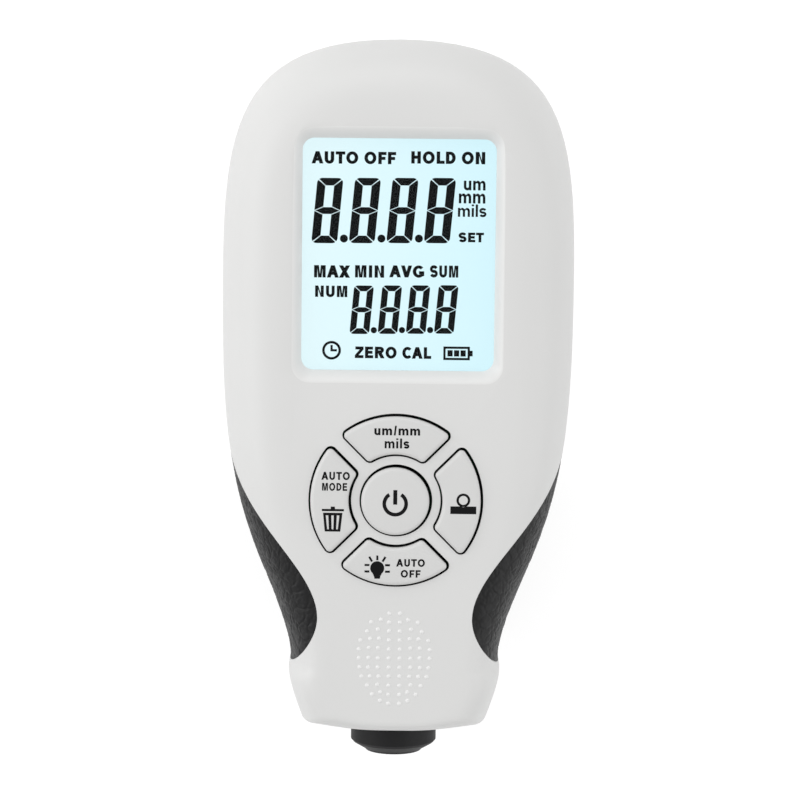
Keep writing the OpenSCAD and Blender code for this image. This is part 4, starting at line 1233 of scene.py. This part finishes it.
class GAUGE_OT_keys(bpy.types.Operator):
    """Models the five key caps with soft edges, painted black below the face as shade in the gaps"""

    bl_idname = "gauge.keys"
    bl_label = "Keys"

    def execute(self, context):
        front = context.scene.gauge_front
        gap = front.key_gap / MM
        low, high = UNDER_Z - CAP_SKIRT, KEY_TOP - SIGN_T
        shift_x, shift_y = (OUTER_SHIFT * shift for shift in KEY_SHIFT)
        for quarter, name in enumerate(("unit", "mode", "light", "zero")):
            corners = turned(key_corners(front, gap), quarter)
            outline = [(x + shift_x, y + shift_y) for x, y in corners]
            self.finish_cap(drawn_shape("cap", [outline], low, high), name)
        place = (KEY_SHIFT[0], KEYS_Y + KEY_SHIFT[1])
        cap = rod("cap", front.key_radius / MM - gap, (*place, low), (*place, high), 96)
        self.finish_cap(cap, "power")
        return {"FINISHED"}

    def finish_cap(self, cap, name):
        """Rounds the upper edge and paints what lies below the face black, as shade in the gap."""
        activate(cap)
        hair, flat = 0.001, math.radians(0.5)
        top = (KEY_TOP - SIGN_T - hair) * MM
        shade_z = (BODY_D - SHADE_DROP) * MM
        bpy.ops.object.mode_set(mode="EDIT")
        bpy.ops.mesh.select_all(action="SELECT")
        bpy.ops.mesh.dissolve_limited(angle_limit=flat)
        select_vertices(cap, lambda v: v.co.z > top)
        bpy.ops.mesh.bevel(offset=CAP_ROUND * MM, segments=6, profile=0.5, affect="EDGES")
        bpy.ops.mesh.select_all(action="SELECT")
        bpy.ops.mesh.bisect(plane_co=(0, 0, shade_z), plane_no=(0, 0, 1))
        bpy.ops.object.mode_set(mode="OBJECT")
        dress(cap, finish_for("key_plastic"))
        cap.data.materials.append(finish_for("gap_painted_shade"))
        # Faces below shade_z are painted black as shade in the gap
        for face in cap.data.polygons:
            face.material_index = int(face.center.z < shade_z)
        smooth(settle(cap, name + "_cap"), 40)
        hand_in(cap, name, "key_plastic", name + "_key")


# Words on the keys: left, right, base and cap line about the middle of the cluster, and the stem's share
KEY_WORDS = (
    ("unit", "um/mm", (-3.31, 3.5, 9.92, 11.37), 0.31),
    ("unit", "mils", (-1.76, 1.92, 7.95, 9.46), 0.29),
    ("mode", "AUTO", (-11.16, -6.92, 3.11, 4.33), 0.25),
    ("mode", "MODE", (-11.04, -7.3, 1.47, 2.66), 0.24),
    ("light", "AUTO", (0.17, 4.45, -9.9, -8.73), 0.25),
    ("light", "OFF", (0.86, 3.83, -11.56, -10.4), 0.25),
)
# Room that printed letters get beside them
PRINT_ROOM = 0.06


class GAUGE_OT_key_signs(bpy.types.Operator):
    """Prints the signs on the keys"""

    bl_idname = "gauge.key_signs"
    bl_label = "Key signs"

    def execute(self, context):
        for key, body, box, stem in KEY_WORDS:
            self.write(key, body, box, stem)
        self.draw_sign("power", self.power_sign())
        self.draw_sign("mode", self.bin_sign())
        self.draw_sign("zero", self.zero_sign())
        self.draw_sign("light", self.lamp_sign())
        return {"FINISHED"}

    def write(self, key, body, box, stem):
        left, right, base, cap = box
        place = (left, right, base + KEYS_Y, cap + KEYS_Y)
        sign = words("sign", body, place, KEY_TOP - SIGN_T, KEY_TOP, stem, PRINT_ROOM)
        self.print_on(key, sign, body.lower().replace("/", "_"))

    def draw_sign(self, key, outlines):
        outlines = [[(x, y + KEYS_Y) for x, y in outline] for outline in outlines]
        self.print_on(key, drawn_shape("sign", outlines, KEY_TOP - SIGN_T, KEY_TOP), "symbol")

    def print_on(self, key, sign, kind):
        settle(sign, "sign_" + key + "_" + kind)
        dress(sign, finish_for("sign_ink"))
        hand_in(sign, key, "black_plastic")

    def power_sign(self):
        """Ring that is open at the top, with an upright stroke in its gap."""
        middle, outer, inner, gap = (-0.09, -0.4), (1.91, 1.91), (1.37, 1.37), 33
        start, stop = 90 + gap, 450 - gap
        ring = arc(middle, outer, start, stop, 40) + arc(middle, inner, stop, start, 40)
        return [ring, bar(-0.39, 0.2, -0.51, 1.68)]

    def bin_sign(self):
        """Bin with a lid, a handle and three slots that lean with its sides."""
        lid = bar(-11.05, -7.75, -1.61, -1.28)
        handle = bar(-9.72, -9.1, -1.28, -0.92)
        bucket = [(-10.87, -1.86), (-7.97, -1.86), (-8.28, -4.69), (-10.6, -4.69)]
        top, foot = -2.24, -4.36
        slots = []
        for i in range(3):
            high, low = -10.5 + 0.83 * i, -10.28 + 0.67 * i
            slots.append([(high + 0.03, top), (high + 0.42, top), (low + 0.3, foot), (low + 0.04, foot)])
        return [lid, handle, bucket] + slots

    def zero_sign(self):
        """Small ring on a plate."""
        return ring_outlines((10.09, 0.24), 1.03, 0.68) + [bar(8.17, 12.04, -1.83, -0.68)]

    def lamp_sign(self):
        """Glowing bulb with seven rays."""
        middle, ray_width = Vector((-2.68, -10.17)), 0.31
        bulb = arc(middle, (1.05, 1.05), -50, 230, 24)
        socket = ((-0.47, -1.25), (-0.4, -1.6), (0.4, -1.6), (0.47, -1.25))
        bulb += [(middle.x + x, middle.y + y) for x, y in socket]
        rays = [((0, 1.2), (0, 1.92))]
        for side in (-1, 1):
            rays += [
                ((side * 0.78, 1.0), (side * 1.22, 1.72)),
                ((side * 1.18, 0.46), (side * 1.9, 0.46)),
                ((side * 1.18, -0.52), (side * 1.9, -0.52)),
            ]
        return [bulb] + [stroke(middle + Vector(a), middle + Vector(b), ray_width) for a, b in rays]


# Words on the display: left, right, base and cap line about its middle, and the stem's share
DISPLAY_WORDS = (
    ("AUTO OFF", (-13.11, -0.54, 13.4, 15.27), 0.29),
    ("HOLD ON", (1.72, 12.74, 13.54, 15.42), 0.29),
    ("um", (9.6, 12.84, 9.66, 11.12), 0.29),
    ("mm", (8.88, 12.84, 7.73, 9.2), 0.29),
    ("mils", (8.77, 13.03, 5.7, 7.58), 0.27),
    ("SET", (8.92, 12.7, 1.92, 3.4), 0.29),
    ("MAX", (-12.62, -7.23, -3.58, -1.74), 0.29),
    ("MIN", (-6.49, -2.14, -3.52, -1.68), 0.28),
    ("AVG", (-1.37, 3.86, -3.46, -1.62), 0.29),
    ("SUM", (4.7, 8.95, -3.4, -1.56), 0.28),
    ("NUM", (-12.44, -7.62, -6.52, -4.79), 0.28),
    ("ZERO CAL", (-6.4, 5.06, -15.66, -13.86), 0.29),
)
# Numbers: lower left corner, pitch, width and height, widths of upright and level segments, dot radius
UPPER_NUMBER = ((-13.08, 1.56), 5.6, (3.86, 9.73), (1.28, 1.12), 0.6)
LOWER_NUMBER = ((-7.25, -12.0), 4.22, (2.96, 7.28), (0.96, 0.86), 0.47)


class GAUGE_OT_display_marks(bpy.types.Operator):
    """Lays the dark segments and words on the display glass"""

    bl_idname = "gauge.display_marks"
    bl_label = "Display marks"

    def execute(self, context):
        for body, box, stem in DISPLAY_WORDS:
            self.write(body, box, stem)
        self.draw_mark("upper_number", self.number(*UPPER_NUMBER))
        self.draw_mark("lower_number", self.number(*LOWER_NUMBER))
        self.draw_mark("clock", self.clock())
        case, bars = self.battery()
        self.draw_mark("battery_case", case)
        self.draw_mark("battery_bars", bars)
        return {"FINISHED"}

    def write(self, body, box, stem):
        left, right, base, cap = box
        place = (left, right, base + WIN_Y, cap + WIN_Y)
        mark = words("mark", body, place, GLASS_Z, GLASS_Z + MARK_T, stem)
        self.lay(mark, body.lower().replace(" ", "_"))

    def draw_mark(self, name, outlines):
        outlines = [[(x, y + WIN_Y) for x, y in outline] for outline in outlines]
        self.lay(drawn_shape("mark", outlines, GLASS_Z, GLASS_Z + MARK_T), name)

    def lay(self, mark, name):
        settle(mark, "mark_" + name)
        dress(mark, finish_for("display_ink"))
        hand_in(mark, "housing", "black_plastic")

    def number(self, start, pitch, size, thick, dot):
        """Four slanted digits of seven segments with three dots between them."""
        outlines = []
        for i in range(4):
            left, foot = start[0] + pitch * i, start[1]
            for segment in self.digit(*size, *thick):
                outlines.append([(left + x + SLANT * y, foot + y + DIGIT_RISE * i) for x, y in segment])
        for i in range(3):
            middle = (start[0] + pitch * (i + 1) - dot * 1.2, start[1] + dot + 0.12 + DIGIT_RISE * i)
            outlines += ring_outlines(middle, dot, 0, 20)
        return outlines

    def digit(self, width, height, thick, bar_thick):
        """All seven segments of a digit with round outer corners, parted by thin slanting gaps."""
        corner, half = 0.6 * thick, height / 2
        slip, tip = SEGMENT_GAP * 0.75, SEGMENT_GAP * 0.6
        round_end = (corner, height - corner), (corner, corner)
        start = arc(*round_end, 130, 90, 4)
        top = start + [(width - x, y) for x, y in reversed(start)]
        top += [(width - thick - slip, height - bar_thick), (thick + slip, height - bar_thick)]
        side = arc(*round_end, 142, 180, 4) + [
            (0, half + tip), (thick, half + bar_thick / 2 + tip), (thick, height - bar_thick - slip),
        ]
        middle = [
            (2 * tip, half), (thick, half + bar_thick / 2 - tip), (width - thick, half + bar_thick / 2 - tip),
            (width - 2 * tip, half), (width - thick, half - bar_thick / 2 + tip),
            (thick, half - bar_thick / 2 + tip),
        ]
        low = [(x, height - y) for x, y in top]
        low_side = [(x, height - y) for x, y in side]
        return [top, side, low, low_side, middle] + [
            [(width - x, y) for x, y in segment] for segment in (side, low_side)
        ]

    def clock(self):
        """Clock face with two hands of equal length."""
        x, y, half, hand = -9.9, -14.5, 0.17, 0.8
        hands = [(x - half, y + hand), (x - half, y - half), (x + hand, y - half), (x + hand, y + half)]
        hands += [(x + half, y + half), (x + half, y + hand)]
        return ring_outlines((x, y), 1.41, 1.03) + [hands]

    def battery(self):
        """Case with a tip at its right, and the three bars in it."""
        left, right, low, high, tip = 6.87, 10.85, -15.78, -13.74, 0.42
        line, first, pitch, width, inset = 0.34, 0.62, 0.98, 0.78, 0.55
        middle = (low + high) / 2
        case = [(left, low), (right, low), (right, middle - tip), (right + tip, middle - tip)]
        case += [(right + tip, middle + tip), (right, middle + tip), (right, high), (left, high)]
        room = bar(left + line, right - line, low + line, high - line)
        starts = [left + first + pitch * i for i in range(3)]
        return [case, room], [bar(start, start + width, low + inset, high - inset) for start in starts]


class GAUGE_OT_thumb_rest(bpy.types.Operator):
    """Sets the oval of small raised dots on the lower front"""

    bl_idname = "gauge.thumb_rest"
    bl_label = "Thumb rest"

    def execute(self, context):
        deselect()
        bpy.ops.mesh.primitive_cone_add(
            vertices=16, radius1=DOT_R * MM, radius2=DOT_TOP_R * MM, depth=DOT_T * MM,
            location=(0, 0, (BODY_D + DOT_MIDDLE) * MM),
        )
        dot = settle(bpy.context.object, "dot")
        select_vertices(dot, lambda v: v.co.z > BODY_D * MM)
        bpy.ops.mesh.bevel(offset=DOT_ROUND * MM, segments=2, affect="EDGES")
        bpy.ops.object.mode_set(mode="OBJECT")
        dots = []
        for x, y in DOT_SPOTS:
            for side in (-1, 1):
                copy = dot.copy()
                copy.data = dot.data.copy()
                context.collection.objects.link(copy)
                copy.location = (side * x * MM, (DOTS_Y + y) * MM, 0)
                dots.append(copy)
        bpy.data.objects.remove(dot)
        rest = settle(join(dots), "thumb_rest_dots")
        smooth(rest, 40)
        # The dots' lighter colour is a painted highlight
        dress(rest, finish_for("dot_painted_highlight"))
        hand_in(rest, "housing", "housing_plastic")
        return {"FINISHED"}


class GAUGE_OT_probe_links(bpy.types.Operator):
    """Puts merged, smoothed copies of the probe's spring and lead in place of their solids"""

    bl_idname = "gauge.probe_links"
    bl_label = "Probe spring and lead"

    def execute(self, context):
        for joint in frame["record"]["behaviour"]["joints"]:
            for soft in joint.get("deforming_nodes", ()):
                self.link(context, soft["node"], soft["fixed_end_y_m"], joint)
        return {"FINISHED"}

    def link(self, context, node, fixed_end, joint):
        """Copies a solid, merged and smoothed, in place of it. The fixed end and the joint are not used."""
        slot = next(s["material_slot"] for s in frame["record"]["subparts"] if s["node"] == node)
        piece = bpy.data.objects.new(node + "_soft", frame["nodes"][node].data.copy())
        context.collection.objects.link(piece)
        weld(settle(piece, node + "_soft"))
        smooth(piece, 50)
        dress(piece, finish_for(slot))
        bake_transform(piece)
        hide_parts(node)


# Square lamps, all turned to the gauge: place in metres and watts
LAMPS = (
    ("lamp_left", (-0.85, 0.08, 0.5), 3.7),
    ("lamp_top", (-0.1, 0.85, 0.6), 2.75),
    ("lamp_right", (0.85, -0.25, 0.5), 2.45),
)
LAMP_SIZE = 0.8
# Floor in metres, a hair below the gauge so that no face lies in it
FLOOR_SIZE, FLOOR_Z = 4, -0.00005
# Strength of the sky on the gauge; seen by the camera it is white
SKY = 0.6
# Camera: tilt and roll in degrees, lens in millimetres, distance in metres, what it aims at in millimetres
CAMERA_TILT, CAMERA_ROLL, CAMERA_LENS, CAMERA_AWAY = 6.5, -0.65, 131.76, 0.45
CAMERA_AIM = (0.45, -0.03, PART_Z)


class GAUGE_OT_stage(bpy.types.Operator):
    """Adds the pale floor, the soft studio light and the camera"""

    bl_idname = "gauge.stage"
    bl_label = "Stage"

    def execute(self, context):
        scene = context.scene
        scene.view_settings.view_transform = "Standard"
        self.floor()
        for name, place, power in LAMPS:
            self.lamp(name, place, power)
        self.sky(scene)
        self.camera(scene)
        return {"FINISHED"}

    def floor(self):
        """Floor that the camera sees as white with a shadow, and that lights the gauge as a pale one."""
        deselect()
        bpy.ops.mesh.primitive_plane_add(size=FLOOR_SIZE, location=(0, 0, FLOOR_Z))
        floor = settle(bpy.context.object, "floor")
        material = bpy.data.materials.new("pale_floor")
        material.use_nodes = True
        tree = material.node_tree
        tree.nodes.clear()
        path = put(tree, "ShaderNodeLightPath")
        seen = put(
            tree, "ShaderNodeMath", {0: path.outputs["Is Camera Ray"], 1: path.outputs["Is Glossy Ray"]},
            operation="MAXIMUM",
        )
        seen = put(
            tree, "ShaderNodeMath", {0: seen.outputs["Value"], 1: path.outputs["Is Transmission Ray"]},
            operation="MAXIMUM",
        )
        shadow = put(tree, "ShaderNodeBsdfDiffuse", {"Color": (0.25, 0.25, 0.25, 1)})
        glow = put(tree, "ShaderNodeEmission", {"Color": (1, 1, 1, 1), "Strength": 0.85})
        white = put(
            tree, "ShaderNodeAddShader", {0: shadow.outputs["BSDF"], 1: glow.outputs["Emission"]}
        )
        plain = put(tree, "ShaderNodeBsdfDiffuse", {"Color": (0.85, 0.85, 0.85, 1)})
        mixed = put(
            tree, "ShaderNodeMixShader",
            {0: seen.outputs["Value"], 1: plain.outputs["BSDF"], 2: white.outputs["Shader"]},
        )
        put(tree, "ShaderNodeOutputMaterial", {"Surface": mixed.outputs["Shader"]})
        dress(floor, material)

    def lamp(self, name, place, power):
        deselect()
        bpy.ops.object.light_add(type="AREA", location=place)
        lamp = bpy.context.object
        lamp.name = name
        lamp.data.size = LAMP_SIZE
        lamp.data.energy = power
        lamp.rotation_euler = (-Vector(place)).to_track_quat("-Z", "Y").to_euler()

    def sky(self, scene):
        world = scene.world or bpy.data.worlds.new("studio")
        scene.world = world
        world.use_nodes = True
        tree = world.node_tree
        tree.nodes.clear()
        path = put(tree, "ShaderNodeLightPath")
        soft = put(tree, "ShaderNodeBackground", {"Color": (1, 1, 1, 1), "Strength": SKY})
        white = put(tree, "ShaderNodeBackground", {"Color": (1, 1, 1, 1), "Strength": 1.0})
        mixed = put(
            tree, "ShaderNodeMixShader",
            {0: path.outputs["Is Camera Ray"], 1: soft.outputs["Background"], 2: white.outputs["Background"]},
        )
        put(tree, "ShaderNodeOutputWorld", {"Surface": mixed.outputs["Shader"]})

    def camera(self, scene):
        """Looks down on the lying gauge from a little beyond its display end."""
        tilt, roll = math.radians(CAMERA_TILT), math.radians(CAMERA_ROLL)
        target = Vector(CAMERA_AIM) * MM
        back = Vector((0, math.sin(tilt), math.cos(tilt)))
        right = Vector((1, 0, 0))
        up = back.cross(right)
        right, up = (
            math.cos(roll) * right - math.sin(roll) * up,
            math.sin(roll) * right + math.cos(roll) * up,
        )
        deselect()
        bpy.ops.object.camera_add()
        camera = bpy.context.object
        camera.data.sensor_width = 36
        camera.data.lens = CAMERA_LENS
        camera.data.clip_start = 0.01
        turn = Matrix((right, up, back)).transposed().to_4x4()
        camera.matrix_world = Matrix.Translation(target + back * CAMERA_AWAY) @ turn
        scene.camera = camera


class GAUGE_PT_panel(bpy.types.Panel):
    """Lists the steps that build the gauge"""

    bl_label = "Coating thickness gauge"
    bl_idname = "GAUGE_PT_panel"
    bl_space_type = "VIEW_3D"
    bl_region_type = "UI"
    bl_category = "Gauge"

    def draw(self, context):
        for step in STEPS:
            self.layout.operator(step.bl_idname)


STEPS = (
    GAUGE_OT_inside,
    GAUGE_OT_front_housing,
    GAUGE_OT_rear_housing,
    GAUGE_OT_battery_door,
    GAUGE_OT_grips,
    GAUGE_OT_keys,
    GAUGE_OT_key_signs,
    GAUGE_OT_display_marks,
    GAUGE_OT_thumb_rest,
    GAUGE_OT_probe_links,
    GAUGE_OT_stage,
)
GROUPS = {"gauge_housing": GaugeHousing, "gauge_front": GaugeFront, "gauge_colours": GaugeColours}
CLASSES = (*GROUPS.values(), *STEPS, GAUGE_PT_panel)


def register():
    for item in CLASSES:
        bpy.utils.register_class(item)
    for name, group in GROUPS.items():
        setattr(bpy.types.Scene, name, PointerProperty(type=group))


def unregister():
    for name in GROUPS:
        delattr(bpy.types.Scene, name)
    for item in reversed(CLASSES):
        bpy.utils.unregister_class(item)


def main():
    register()
    bpy.ops.gauge.inside()
    bpy.ops.gauge.front_housing()
    bpy.ops.gauge.rear_housing()
    bpy.ops.gauge.battery_door()
    bpy.ops.gauge.grips()
    bpy.ops.gauge.keys()
    bpy.ops.gauge.key_signs()
    bpy.ops.gauge.display_marks()
    bpy.ops.gauge.thumb_rest()
    bpy.ops.gauge.probe_links()
    bpy.ops.gauge.stage()


if __name__ == "__main__":
    main()
